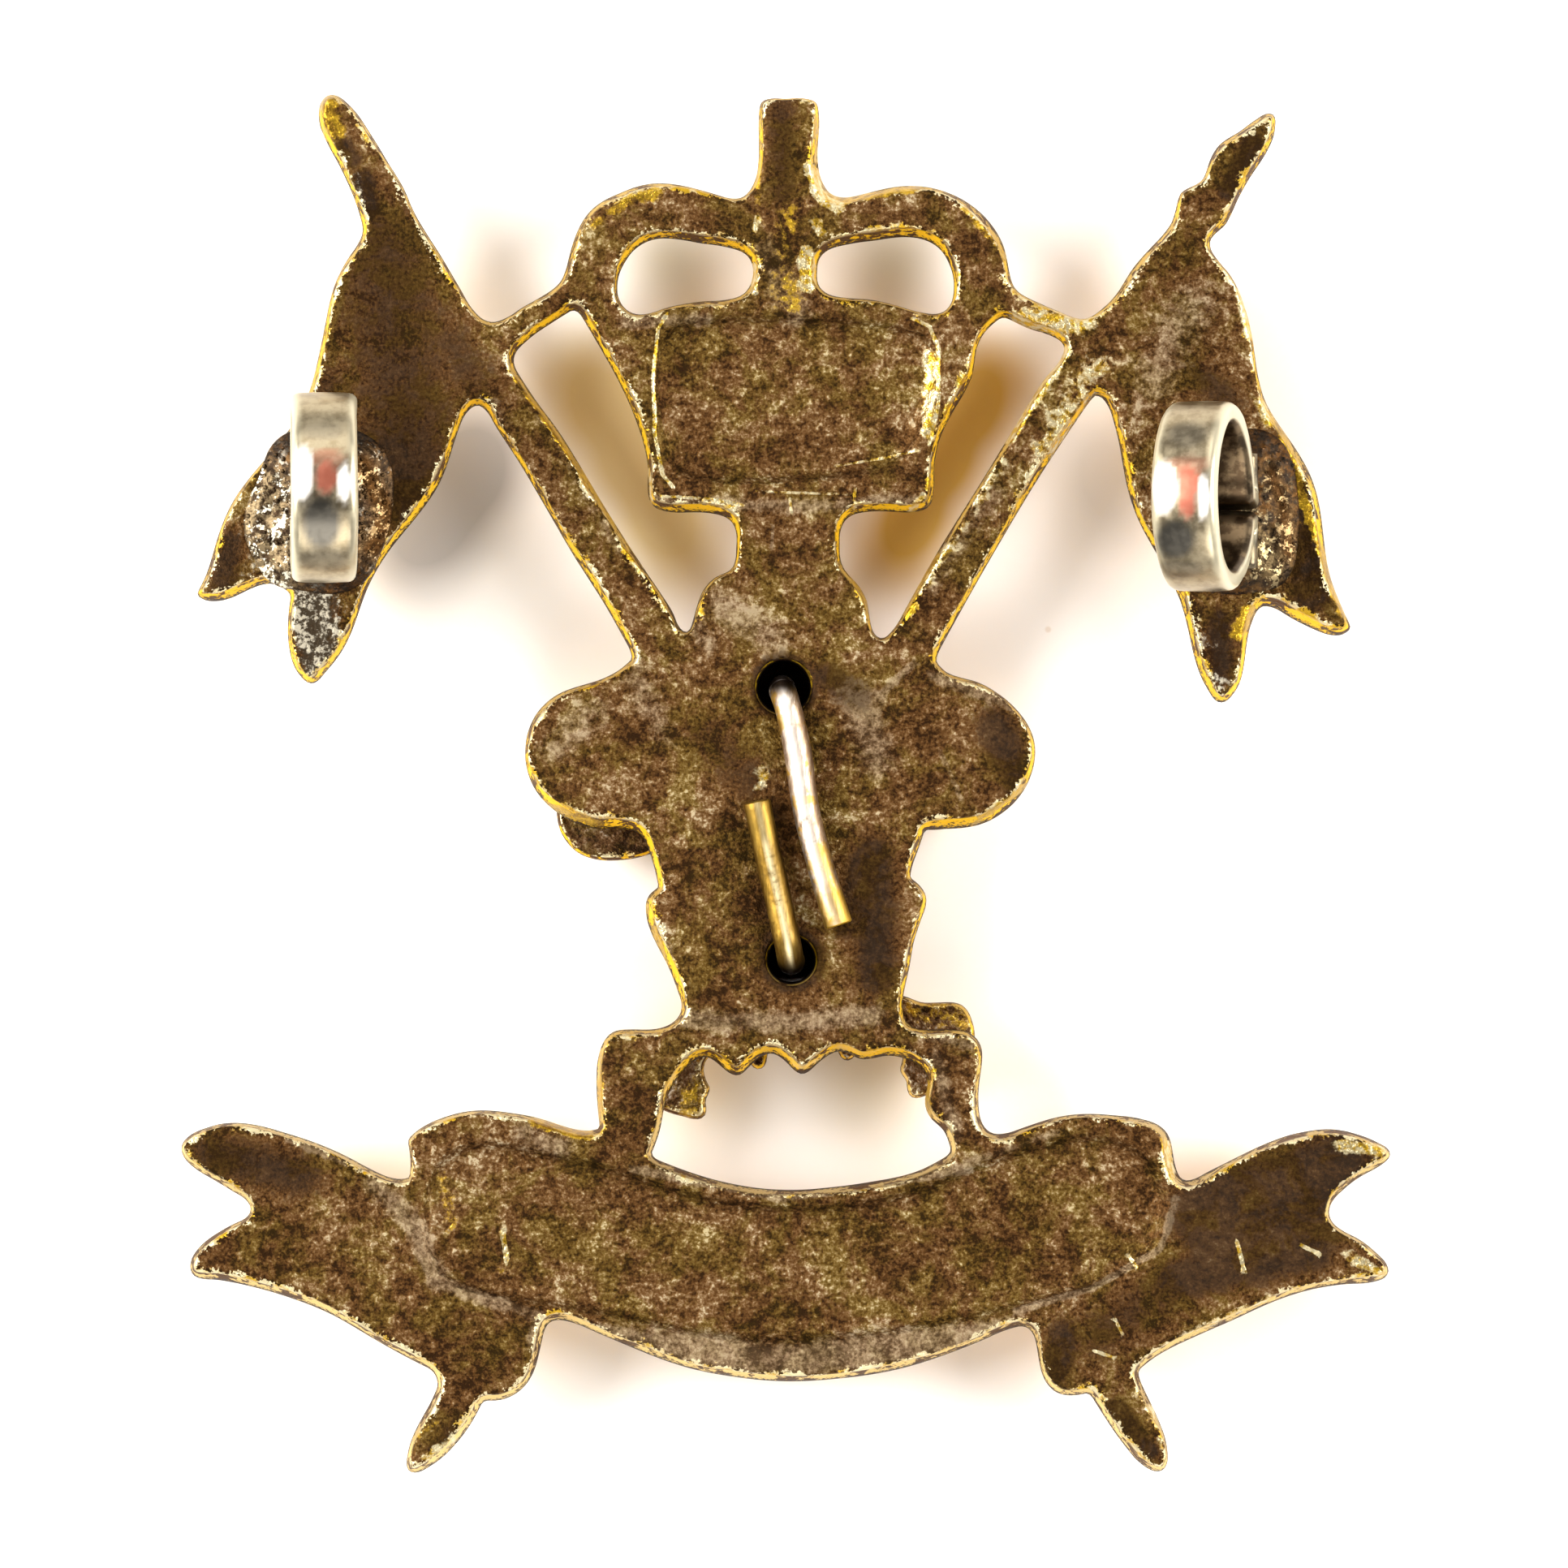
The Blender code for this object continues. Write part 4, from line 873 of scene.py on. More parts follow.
def rib_tree(name, material):
    tree, given, end, add = geometry_tree(name, {"Radius": 0.00006, "Step": 0.0002})
    even = add("GeometryNodeResampleCurve", {"mode": "LENGTH"},
               {"Curve": given["Geometry"], "Length": given["Step"]})
    ring = add("GeometryNodeCurvePrimitiveCircle", {},
               {"Resolution": 6, "Radius": given["Radius"]})
    swept = add("GeometryNodeCurveToMesh", {}, {
        "Curve": even.outputs[0], "Profile Curve": ring.outputs[0], "Fill Caps": True})
    return close_tree(tree, swept.outputs[0], material, end, add)


def follow(name, paths, tree, values):
    """Runs a tree along paths given in millimetres, and keeps the result as a plain mesh."""
    curve = bpy.data.curves.new(name, "CURVE")
    curve.dimensions = "3D"
    for path in paths:
        spline = curve.splines.new("POLY")
        spline.points.add(len(path) - 1)
        flat = np.column_stack([np.asarray(path, float) * MM, np.ones(len(path))])
        spline.points.foreach_set("co", flat.ravel())
    return run_tree(bpy.data.objects.new(name, curve), tree, values)


def run_tree(source, tree, values):
    """Runs a tree on a new object, and puts the plain mesh that it makes in its place."""
    bpy.context.scene.collection.objects.link(source)
    modifier = source.modifiers.new("made", "NODES")
    modifier.node_group = tree
    names = {item.name: item.identifier for item in tree.interface.items_tree}
    for label, value in values.items():
        modifier[names[label]] = value
    bpy.context.view_layer.update()
    graph = bpy.context.evaluated_depsgraph_get()
    mesh = bpy.data.meshes.new_from_object(source.evaluated_get(graph))
    name = source.name
    bpy.data.objects.remove(source)
    made = bpy.data.objects.new(name, mesh)
    bpy.context.scene.collection.objects.link(made)
    mesh.shade_smooth()
    print(name, "has", len(mesh.polygons), "faces")
    return made


# %% Pearls on the crown's arches, beads on the band
ARCH = [(-6.2, 16.0), (-6.2, 17.2), (-5.6, 18.2), (-4.3, 18.85), (-2.6, 18.75), (-0.9, 18.5),
        (0.9, 18.5), (2.6, 18.75), (4.3, 18.85), (5.6, 18.3), (6.4, 17.3), (6.5, 16.2)]
pearls = follow(
    "crown_pearls", [[(px, py, 2.2) for px, py in ARCH]], bead_tree("pearls", gilt, 4),
    {"Spacing": 0.86 * MM, "Radius": 0.34 * MM, "Seed": 4},
)
band_low = turned([(-2.7, -5.25), (-1.5, -5.7), (0.0, -6.0), (1.5, -5.7), (2.7, -5.25)])
band_beads = follow(
    "band_beads", [[(px, py, 0.22) for px, py in band_low]], bead_tree("band_row", gilt, 6),
    {"Spacing": 0.4 * MM, "Radius": 0.15 * MM, "Seed": 6},
)

# %% Barbs on the three feathers
def feather_barbs(root, tip, spread, count=15):
    """Pairs of curved barbs along a quill that runs from root to tip."""
    root, tip = np.array(root, float), np.array(tip, float)
    run = tip - root
    side = np.array([-run[1], run[0]]) / np.linalg.norm(run)
    paths = []
    for index in range(count):
        share = 0.12 + 0.8 * index / (count - 1)
        start = root + run * share
        for hand in (-1, 1):
            reach = spread * math.sin(math.pi * (0.18 + 0.62 * share))
            points = []
            for step in range(5):
                t = step / 4
                spot = start + hand * side * reach * t + run * 0.10 * t * t
                points.append((spot[0], spot[1], 1.08 + 0.15 * t * t))
            paths.append(points)
    return paths


barb_paths = []
for root, tip, spread in (
    ((0.0, -3.4), (0.0, 2.0), 1.05), ((1.8, -3.6), (5.2, 0.6), 0.95),
    ((-1.8, -3.6), (-5.2, 0.6), 0.95),
):
    ends = turned([root, tip])
    barb_paths += feather_barbs(ends[0], ends[1], spread)
barbs = follow(
    "feather_barbs", barb_paths, rib_tree("barb_ribs", white_metal),
    {"Radius": 0.07 * MM, "Step": 0.25 * MM},
)

# %% [markdown]
# ## Drawn wires
# The wires are soft drawn wire, nipped off and pressed over by hand, so their bends are
# uneven and each free end is a flat cut with a slight burr. A section swept along a line
# makes them; a ring of points at each end closes the cut. A painted highlight runs along one
# side of each wire's crown and a painted shade along the other, and where a wire sits down in
# its hole it is painted dark as shade; the mesh carries these as marks.

# %% Sweep a section along a line
def through(points, per_span=8):
    """A smooth line through points (Catmull-Rom)."""
    points = np.asarray(points, float)
    padded = np.vstack([2 * points[0] - points[1], points, 2 * points[-1] - points[-2]])
    found = []
    for a, b, c, d in zip(padded, padded[1:], padded[2:], padded[3:]):
        for step in range(per_span):
            t = step / per_span
            found.append(0.5 * (2 * b + (c - a) * t + (2 * a - 5 * b + 4 * c - d) * t ** 2
                                + (3 * b - a - 3 * c + d) * t ** 3))
    return np.array(found + [points[-1]])


def closed_rings(name, rings, material, marks):
    """A closed tube through rings of points, its ends drawn together to a point."""
    count, last = len(rings[0]), (len(rings) - 1) * len(rings[0])
    points = np.vstack(rings + [rings[0].mean(0), rings[-1].mean(0)])
    faces = []
    for side in range(count):
        after = (side + 1) % count
        faces += [(low + side, low + after, low + count + after, low + count + side)
                  for low in range(0, last, count)]
        faces += [(after, side, len(points) - 2), (last + side, last + after, len(points) - 1)]
    marks = {label: list(values) + [values[0], values[-1]] for label, values in marks.items()}
    return new_piece(name, points, faces, material, marks)


CUT_END = ((0.97, 0.03), (0.86, 0.06), (0.5, 0.065), (0.15, 0.05))


def drawn_wire(name, stations, radius, material, seed, sunk, lit):
    """A wire along stations. Between the two distances of sunk from its hole it comes up out
    of a painted shade, and the last argument gives where across it, and over what half width,
    a painted highlight lies."""
    line = through(stations)
    random = np.random.default_rng(seed)
    sides = 20
    turn = np.arange(sides) * 2 * math.pi / sides
    along = np.gradient(line, axis=0)
    along /= np.linalg.norm(along, axis=1)[:, None]
    across = np.cross(along, (0.0, 0.0, 1.0))
    across = np.where(np.linalg.norm(across, axis=1)[:, None] < 0.3, (1.0, 0.0, 0.0), across)
    across /= np.linalg.norm(across, axis=1)[:, None]
    through_it = np.cross(across, along)
    dents = 1 + 0.03 * np.interp(np.arange(len(line)), np.linspace(0, len(line), 9),
                                 random.uniform(-1, 1, 9))
    rings = []
    for index, middle in enumerate(line):
        size = radius * dents[index]
        flat = 0.96 if 12 < index < len(line) - 4 else 1.0
        rings.append(middle + across[index] * np.cos(turn)[:, None] * size
                     + through_it[index] * np.sin(turn)[:, None] * size * flat)
    tip = rings[-1] - line[-1]
    for share, push in CUT_END:
        rings.append(line[-1] + along[-1] * push + tip * share)
    points = np.vstack(rings)
    middles = np.repeat([ring.mean(0) for ring in rings], sides, axis=0)
    offset = (points[:, 0] - middles[:, 0]) / radius
    toward = 1 if stations[0][1] > 0 else -1
    from_tip = np.linalg.norm(points[:, :2] - line[-1, :2], axis=1)
    lit_at, lit_half = lit
    # The marks hold a painted shade where the wire is down in its hole, a painted highlight along
    # one side of its crown and a painted shade along the other.
    return closed_rings(name, rings, material, {
        "cut": np.arange(len(points)) >= len(line) * sides,
        "deep": eased_step(toward * (points[:, 1] - stations[0][1]), *sunk),
        "lit": np.exp(-((offset - lit_at) / lit_half) ** 2) * (points[:, 2] > middles[:, 2]),
        "dim": eased_step(offset, 0.25, 0.75),
        "tip": eased_step(-from_tip, -1.6, -1.0),
    })


# %% Wire finishes: silvered, and plain brass
def wire_metal(name, body, streak, dark, cut_colour, gloss, glint, lit_share):
    sheet = Sheet(bpy.data.materials.new(name))
    lengthwise = sheet.place(scale=(5.0, 0.9, 1.0), turn=14.0)
    drawn = sheet.noise(2.2, 3.0, 0.6, at=lengthwise)
    blotch = sheet.noise(1.4, 3.0, 0.6, 0.5)
    fine = sheet.noise(9.0, 2.0, 0.5)
    colour = sheet.mix(drawn.ramp(0.40, 0.66), body, streak)
    colour = sheet.mix((blotch + fine * 0.15).ramp(0.62, 0.82) * 0.7, colour, dark)
    # A painted highlight along one side of the wire's crown, weaker near its tip.
    lit = sheet.mark("lit") * (blotch + fine * 0.15).ramp(0.84, 0.60) * lit_share
    lit = lit * (1.0 - sheet.mark("tip") * 0.6)
    gilded = sheet.noise(0.8, 3.0, 0.65, shift=(3.0, 1.0, 0.0))
    colour = sheet.mix((gilded + fine * 0.15).ramp(0.62, 0.68) * 0.8, colour, cut_colour)
    # A painted shade along the other side of the crown.
    colour = sheet.mix(sheet.mark("dim") * 0.6, colour, dark)
    colour = sheet.mix(sheet.mark("tip") * 0.8, colour, cut_colour)
    colour = sheet.mix(lit, colour, glint)
    colour = sheet.mix(sheet.mark("cut"), colour, cut_colour)
    # Painted shade where the wire sits down in its hole.
    colour = sheet.mix(sheet.mark("deep"), colour, (0.012, 0.006, 0.003))
    roughness = gloss + blotch.ramp(0.45, 0.75) * 0.22
    return sheet.finish(
        colour, 1.0 - lit * 0.8, roughness, sheet.bump(drawn + fine * 0.4, 0.012, 0.8))


silvered = wire_metal(
    "silvered_wire", (0.40, 0.29, 0.20), (0.74, 0.62, 0.50), (0.20, 0.11, 0.04),
    (0.55, 0.33, 0.03), 0.42, (0.95, 0.86, 0.78), 0.95)
brass = wire_metal(
    "brass_wire", (0.17, 0.095, 0.013), (0.28, 0.165, 0.030), (0.08, 0.045, 0.012),
    (0.28, 0.17, 0.03), 0.40, (0.95, 0.80, 0.45), 0.95)

# %% The two fixing wires, lying against the rear
WIRE_RADIUS = 0.45
LYING = PLATE_REAR + WIRE_RADIUS - 0.01
upper_wire = drawn_wire("upper_wire", [
    (-0.10, 3.16, 2.62), (-0.10, 3.12, 3.2), (-0.06, 3.0, 3.85), (0.05, 2.66, 4.33),
    (0.20, 2.1, LYING + 0.08), (0.42, 1.0, LYING + 0.02), (0.70, -0.9, LYING),
    (1.16, -2.7, LYING), (1.75, -4.60, LYING + 0.02),
], WIRE_RADIUS, silvered, 11, (-0.35, 0.1), (-0.22, 0.30))
lower_wire = drawn_wire("lower_wire", [
    (0.2, -5.86, 1.15), (0.2, -5.84, 3.1), (0.16, -5.68, 3.95), (0.08, -5.25, 4.36),
    (-0.06, -4.6, LYING + 0.06), (-0.32, -3.4, LYING), (-0.60, -2.2, LYING),
    (-0.93, -0.62, LYING + 0.03),
], WIRE_RADIUS, brass, 12, (-0.25, 0.35), (0.05, 0.17))

# %% [markdown]
# ## Strip loops
# Each loop is a length of flat strip bent round a former until its ends meet, and the ends
# are turned out as two short feet. Bending leaves a sharp valley between the feet and soft
# edges on the strip. One leans over, the other stands straight up. The bright patches on its
# crown are painted highlights, the dark and reddish patches painted reflections, and the pale
# edges a painted sheen; all are soft marks in its finish.

# %% The loops, by the same rule as their solids
STRIP_WIDTH, STRIP_THICKNESS = 2.2, 0.75
RING_ACROSS, RING_TALL, FOOT_LENGTH = 6.25, 5.3, 1.5
FOOT_HEIGHT = PLATE_REAR + 0.3
FOOT_REACH = STRIP_THICKNESS / 2 + FOOT_LENGTH


def loop_stations(lean, shift, steps=96, foot_steps=10):
    half = STRIP_THICKNESS / 2
    cusp = 1.05 * STRIP_THICKNESS
    across = (RING_ACROSS - STRIP_THICKNESS) / 2
    tall = (RING_TALL - STRIP_THICKNESS) / 2
    foot = []
    for part in range(foot_steps):
        t = part / (foot_steps - 1)
        foot.append((half + FOOT_LENGTH * (1 - t), half + (cusp - half) * t ** 3, 0.0))
    flat = [(-y, z, share) for y, z, share in foot]
    opening = math.asin(half / across)
    for step in range(1, steps):
        turn = opening + 2 * (math.pi - opening) * step / steps
        share = min(1.0, min(step, steps - step) / (steps / 6))
        flat.append((-across * math.sin(turn) + shift * share,
                     cusp + half + tall * (1 - math.cos(turn)), share))
    flat += reversed(foot)
    lean_of = lambda share: np.array([
        [math.cos(lean * share), 0, math.sin(lean * share)], [0, 1, 0],
        [-math.sin(lean * share), 0, math.cos(lean * share)]])
    stations = []
    for index, (y, z, share) in enumerate(flat):
        before, after = flat[max(index - 1, 0)], flat[min(index + 1, len(flat) - 1)]
        along = np.array([0.0, after[0] - before[0], after[1] - before[1]])
        along /= np.linalg.norm(along)
        middle = np.array([0.0, y, z - cusp])
        if z > cusp:
            middle = lean_of(1.0) @ middle
        middle[2] += cusp
        across_strip = lean_of(share) @ (1.0, 0.0, 0.0)
        stations.append((middle, across_strip, np.cross(lean_of(share) @ along, across_strip)))
    return stations


def soft_section(width, thick, ease, per_corner=4, per_flat=9, crown=0.05):
    points = []
    for corner in range(4):
        sx, sy = ((1, 1), (-1, 1), (-1, -1), (1, -1))[corner]
        for step in range(per_corner + 1):
            turn = math.pi / 2 * (corner + step / per_corner)
            points.append((sx * (width - ease) + ease * math.cos(turn),
                           sy * (thick - ease) + ease * math.sin(turn)))
        if corner in (0, 2):
            for x in np.linspace(sx * (width - ease), -sx * (width - ease), per_flat + 2)[1:-1]:
                points.append((x, sy * thick))
    points = np.array(points)
    points[:, 1] *= 1 - crown / thick * (points[:, 0] / width) ** 2
    return points


def spots(places, patches):
    """Strength of soft oval patches, each (centre, half width, half height, strength)."""
    total = np.zeros(len(places))
    for centre, half_wide, half_tall, strength in patches:
        far = np.hypot(*((places[:, :2] - centre) / (half_wide, half_tall)).T)
        total = np.maximum(total, strength * eased_step(-far, -1.25, -0.75))
    return total


def foot_end(end, before):
    """A smaller ring just past the end of a foot, which eases its cut corners."""
    run = end - before
    cap = end + 0.02 * run / np.linalg.norm(run, axis=1)[:, None]
    return cap.mean(0) + (cap - cap.mean(0)) * 0.8


def strip_loop(name, place, lean, shift, material, seed, patches):
    section = soft_section(STRIP_WIDTH / 2, STRIP_THICKNESS / 2, 0.26)
    base = np.array([place[0], place[1], FOOT_HEIGHT])
    random = np.random.default_rng(seed)
    rings = []
    stations = loop_stations(lean, shift)
    sizes = np.interp(np.arange(len(stations)), np.linspace(0, len(stations), 12),
                      random.uniform(0.95, 1.0, 12))
    for (middle, across, through_it), size in zip(stations, sizes):
        rings.append(base + middle + section[:, :1] * across * size
                     + section[:, 1:] * through_it * (0.5 + 0.5 * size))
    rings = [foot_end(*rings[:2])] + rings + [foot_end(rings[-1], rings[-2])]
    places = np.vstack(rings)
    above = eased_step(places[:, 2], base[2] + 0.55 * RING_TALL, base[2] + 0.7 * RING_TALL)
    marks = {label: above * spots(places, patches[label]) for label in patches}
    marks["edge"] = np.tile(np.abs(section[:, 0]) / (STRIP_WIDTH / 2), len(rings))
    marks["inner"] = np.tile((section[:, 1] > 0.2).astype(float), len(rings))
    marks["foot"] = eased_step(-places[:, 2], -base[2] - 1.0, -base[2] - 0.6)
    return closed_rings(name, rings, material, marks)


def tinned_metal(name):
    sheet = Sheet(bpy.data.materials.new(name))
    broad = sheet.noise(0.5, 3.0, 0.6, 0.8)
    grain = sheet.noise(2.0, 3.0, 0.6)
    fine = sheet.noise(9.0, 2.0, 0.5)
    colour = sheet.mix(grain.ramp(0.35, 0.65), (0.27, 0.215, 0.13), (0.41, 0.34, 0.22))
    colour = sheet.mix(broad.ramp(0.60, 0.72) * 0.4, colour, (0.34, 0.22, 0.13))
    # Painted sheen: the strip's rounded edges are painted pale, and on the outer face less
    # metallic.
    edge = sheet.mark("edge").ramp(0.62, 1.0)
    colour = sheet.mix(edge, colour, (0.62, 0.56, 0.39))
    colour = sheet.mix(sheet.mark("inner") * 0.92, colour, sheet.mix(
        grain.ramp(0.4, 0.6), (0.050, 0.028, 0.014), (0.16, 0.105, 0.055)))
    colour = sheet.mix(sheet.mark("foot"), colour, sheet.mix(
        (grain + fine * 0.4).ramp(0.6, 0.8), (0.17, 0.125, 0.065), (0.045, 0.03, 0.015)))
    # Painted reflections and highlights on the crown: a dark reflection, a reddish reflection, and
    # white highlights (glare) that are also less metallic.
    colour = sheet.mix(sheet.mark("dark") * 0.9, colour, (0.09, 0.085, 0.075))
    colour = sheet.mix(sheet.mark("red") * 0.85, colour, (0.52, 0.13, 0.08))
    glare = sheet.mark("glare")
    colour = sheet.mix(glare, colour, (0.92, 0.90, 0.86))
    painted_edge_sheen = edge * (1.0 - sheet.mark("inner")) * 0.45
    metallic = 1.0 - glare.largest(painted_edge_sheen) - sheet.mark("red") * 0.3
    roughness = 0.30 + grain.ramp(0.4, 0.8) * 0.14
    return sheet.finish(
        colour, metallic.clamp(), roughness, sheet.bump(grain * 0.7 + fine * 0.2, 0.008, 0.7))


tinned = tinned_metal("tinned_strip")
LEFT_PLACE, RIGHT_PLACE = (-15.22, 8.95), (14.5, 9.0)
# The glare, dark and red patches below are painted highlights and painted reflections on each
# loop's crown.
left_loop = strip_loop(
    "left_strip_loop", LEFT_PLACE, math.radians(2.5), 0.75, tinned, 21,
    {"glare": [((-15.72, 10.1), 0.34, 0.85, 1.0), ((-14.35, 9.8), 0.20, 0.62, 1.0)],
     "red": [((-14.95, 10.0), 0.36, 0.55, 1.0), ((-14.95, 10.6), 0.6, 0.3, 0.4)],
     "dark": [((-15.12, 8.5), 0.62, 0.85, 1.0), ((-15.1, 11.5), 0.7, 0.30, 0.35),
              ((-15.1, 7.3), 0.8, 0.35, 0.45)]})
right_loop = strip_loop(
    "right_strip_loop", RIGHT_PLACE, math.radians(-17.5), 0.42, tinned, 22,
    {"glare": [((12.35, 9.65), 0.38, 0.80, 1.0), ((13.62, 9.35), 0.20, 0.70, 1.0)],
     "red": [((13.08, 9.85), 0.42, 0.55, 1.0), ((13.12, 9.1), 0.26, 0.45, 1.0),
             ((13.1, 10.4), 0.7, 0.3, 0.4)],
     "dark": [((12.72, 7.98), 0.60, 0.62, 1.0), ((13.1, 11.4), 0.6, 0.40, 0.45),
              ((12.8, 7.0), 0.8, 0.3, 0.5)]})

# %% [markdown]
# ## Solder
# Soft solder was run round the feet with an iron. It wets the strip and the plate, so it
# climbs to the feet in a hollow slope and thins out to nothing, and its skin froze in grains.

# %% Mounds of solder, and the grains on them
def solder_metal(name, body, bright, dark):
    sheet = Sheet(bpy.data.materials.new(name))
    grain = sheet.noise(3.4, 4.0, 0.68)
    fine = sheet.noise(11.0, 3.0, 0.6)
    lumps = sheet.cells(4.2)
    flecks = (sheet.noise(2.2, 3.0, 0.70) + fine * 0.35).ramp(0.72, 0.80)
    colour = sheet.mix(grain.ramp(0.40, 0.60), dark, body)
    colour = sheet.mix(flecks, colour, bright)
    reddish = sheet.mix(
        (flecks + grain.ramp(0.58, 0.70) * 0.7).clamp(), (0.07, 0.032, 0.010), (0.62, 0.40, 0.18))
    colour = sheet.mix(sheet.mark("copper"), colour, reddish)
    colour = sheet.mix(
        sheet.mark("bare"), colour, sheet.mix(grain.ramp(0.4, 0.65), BLUE_BLACK, BROWN))
    roughness = 0.50 - lumps.ramp(0.3, 0.1) * 0.24
    height = lumps * -0.7 + grain * 0.5 + fine * 0.3
    return sheet.finish(colour, 1.0, roughness, sheet.bump(height, 0.06, 1.0))


solder_bright = solder_metal(
    "sparkling_solder", (0.24, 0.175, 0.095), (0.95, 0.88, 0.70), (0.040, 0.024, 0.013))
solder_dull = solder_metal(
    "dull_solder", (0.15, 0.105, 0.05), (0.75, 0.58, 0.30), (0.035, 0.022, 0.012))


def solder_mound(name, node, place, height, material, seed, copper, soldered):
    loops = level_loops(node, FOOT_HEIGHT + 0.12)
    edge = Outline(loops[:1], 0.16)
    net = Net(edge, np.full(len(edge.points), 0.06), 0.17)
    x = np.abs(net.places[:, 0] - place[0])
    y = np.abs(net.places[:, 1] - place[1])
    feet = np.hypot(np.clip(x - STRIP_WIDTH / 2, 0, None), np.clip(y - FOOT_REACH, 0, None))
    rise = height * np.exp(-feet / 0.55) * np.clip(net.away / 0.5, 0, 1) ** 0.8
    bumps = 0.10 * drift(net.places, 0.45, seed) + 0.06 * drift(net.places, 0.2, seed + 1)
    top = PLATE_REAR - 0.02 + rise + np.clip(net.away / 0.4, 0, 1) * (0.14 + bumps)
    bottom = np.full(len(net.places), PLATE_REAR - 0.06)
    top = np.where(net.on_edge, bottom, top)
    marks = {"copper": strokes(net.places, [copper]).clip(0, 1)}
    grey = strokes(net.places, [soldered]).clip(0, 1)
    marks["bare"] = 1 - np.maximum(marks["copper"], grey)
    return net.stamped(name, top, bottom, material, marks)


left_solder = solder_mound(
    "left_solder_mound", "left_loop_solder", LEFT_PLACE, 0.42, solder_bright, 31,
    (-13.9, 10.5, -13.15, 8.9, -13.6, 7.8, 0.50, 1.2), (-17.3, 9.5, -17.1, 7.0, 1.0, 1.4))
right_solder = solder_mound(
    "right_solder_mound", "right_loop_solder", RIGHT_PLACE, 0.40, solder_dull, 33,
    (16.0, 10.3, 16.4, 9.2, 16.6, 7.6, 0.30, 1.0), (15.2, 8.1, 16.0, 7.4, 0.75, 1.2))


def grain_tree(name, material, seed):
    tree, given, end, add = geometry_tree(
        name, {"Density": 1.0e6, "Radius": 0.0001, "Seed": seed})
    upward = add("GeometryNodeInputNormal")
    split = add("ShaderNodeSeparateXYZ", {}, {0: upward.outputs[0]})
    top = add("FunctionNodeCompare", {"data_type": "FLOAT", "operation": "GREATER_THAN"},
              {0: split.outputs[2], 1: 0.2})
    spots = add("GeometryNodeDistributePointsOnFaces", {"distribute_method": "RANDOM"}, {
        "Mesh": given["Geometry"], "Density": given["Density"], "Seed": given["Seed"],
        "Selection": top.outputs[0]})
    ball = add("GeometryNodeMeshIcoSphere", {}, {"Radius": given["Radius"], "Subdivisions": 1})
    size = add("FunctionNodeRandomValue", {"data_type": "FLOAT"},
               {2: 0.35, 3: 1.0, "Seed": given["Seed"]})
    grains = add("GeometryNodeInstanceOnPoints", {}, {
        "Points": spots.outputs[0], "Instance": ball.outputs[0], "Scale": size.outputs[1]})
    return close_tree(tree, grains.outputs[0], material, end, add)


def grains_on(name, mound, density, radius, material, seed):
    source = bpy.data.objects.new(name, mound.data.copy())
    return run_tree(source, grain_tree(name + "_tree", material, seed),
                    {"Density": density, "Radius": radius * MM, "Seed": seed})


left_grains = grains_on("left_solder_grains", left_solder, 9.0e6, 0.10, solder_bright, 41)
right_grains = grains_on("right_solder_grains", right_solder, 5.0e6, 0.08, solder_dull, 42)

# %% [markdown]
# ## Riding and replacing
# Nothing on a badge moves, so every piece rides on its one body. Each struck, drawn or
# soldered piece stands for its plain solid.

# %% Hide each solid and hang each piece on the body
for piece, node, slot in (
    (plate, "backing_plate", "gilt"), (plume, "plume_mount", "white_metal"),
    (band, "band_mount", "band_gilt"), (upper_wire, "upper_fixing_wire", "silvered_wire"),
    (lower_wire, "lower_fixing_wire", "brass_wire"), (left_loop, "left_loop", "loop_strip"),
    (right_loop, "right_loop", "loop_strip"), (left_solder, "left_loop_solder", "solder"),
    (right_solder, "right_loop_solder", "solder"),
):
    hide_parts(node)
    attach(piece, "root")
for piece, slot in (
    (pearls, "gilt"), (band_beads, "band_gilt"), (barbs, "white_metal"),
    (left_grains, "solder"), (right_grains, "solder"),
):
    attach(piece, "root")

# %% [markdown]
# ## Ground, light and camera
# The badge lies on white paper. Four soft lamps stand round it, the strongest at the left
# and right. The sky is bright near the horizon and dim overhead, so the flat rear stays brown
# while every turned edge picks up a glint. The warm light that gilt walls throw on the paper
# in the openings, and the soft shade beside the pennons, are laid into the paper's colour.

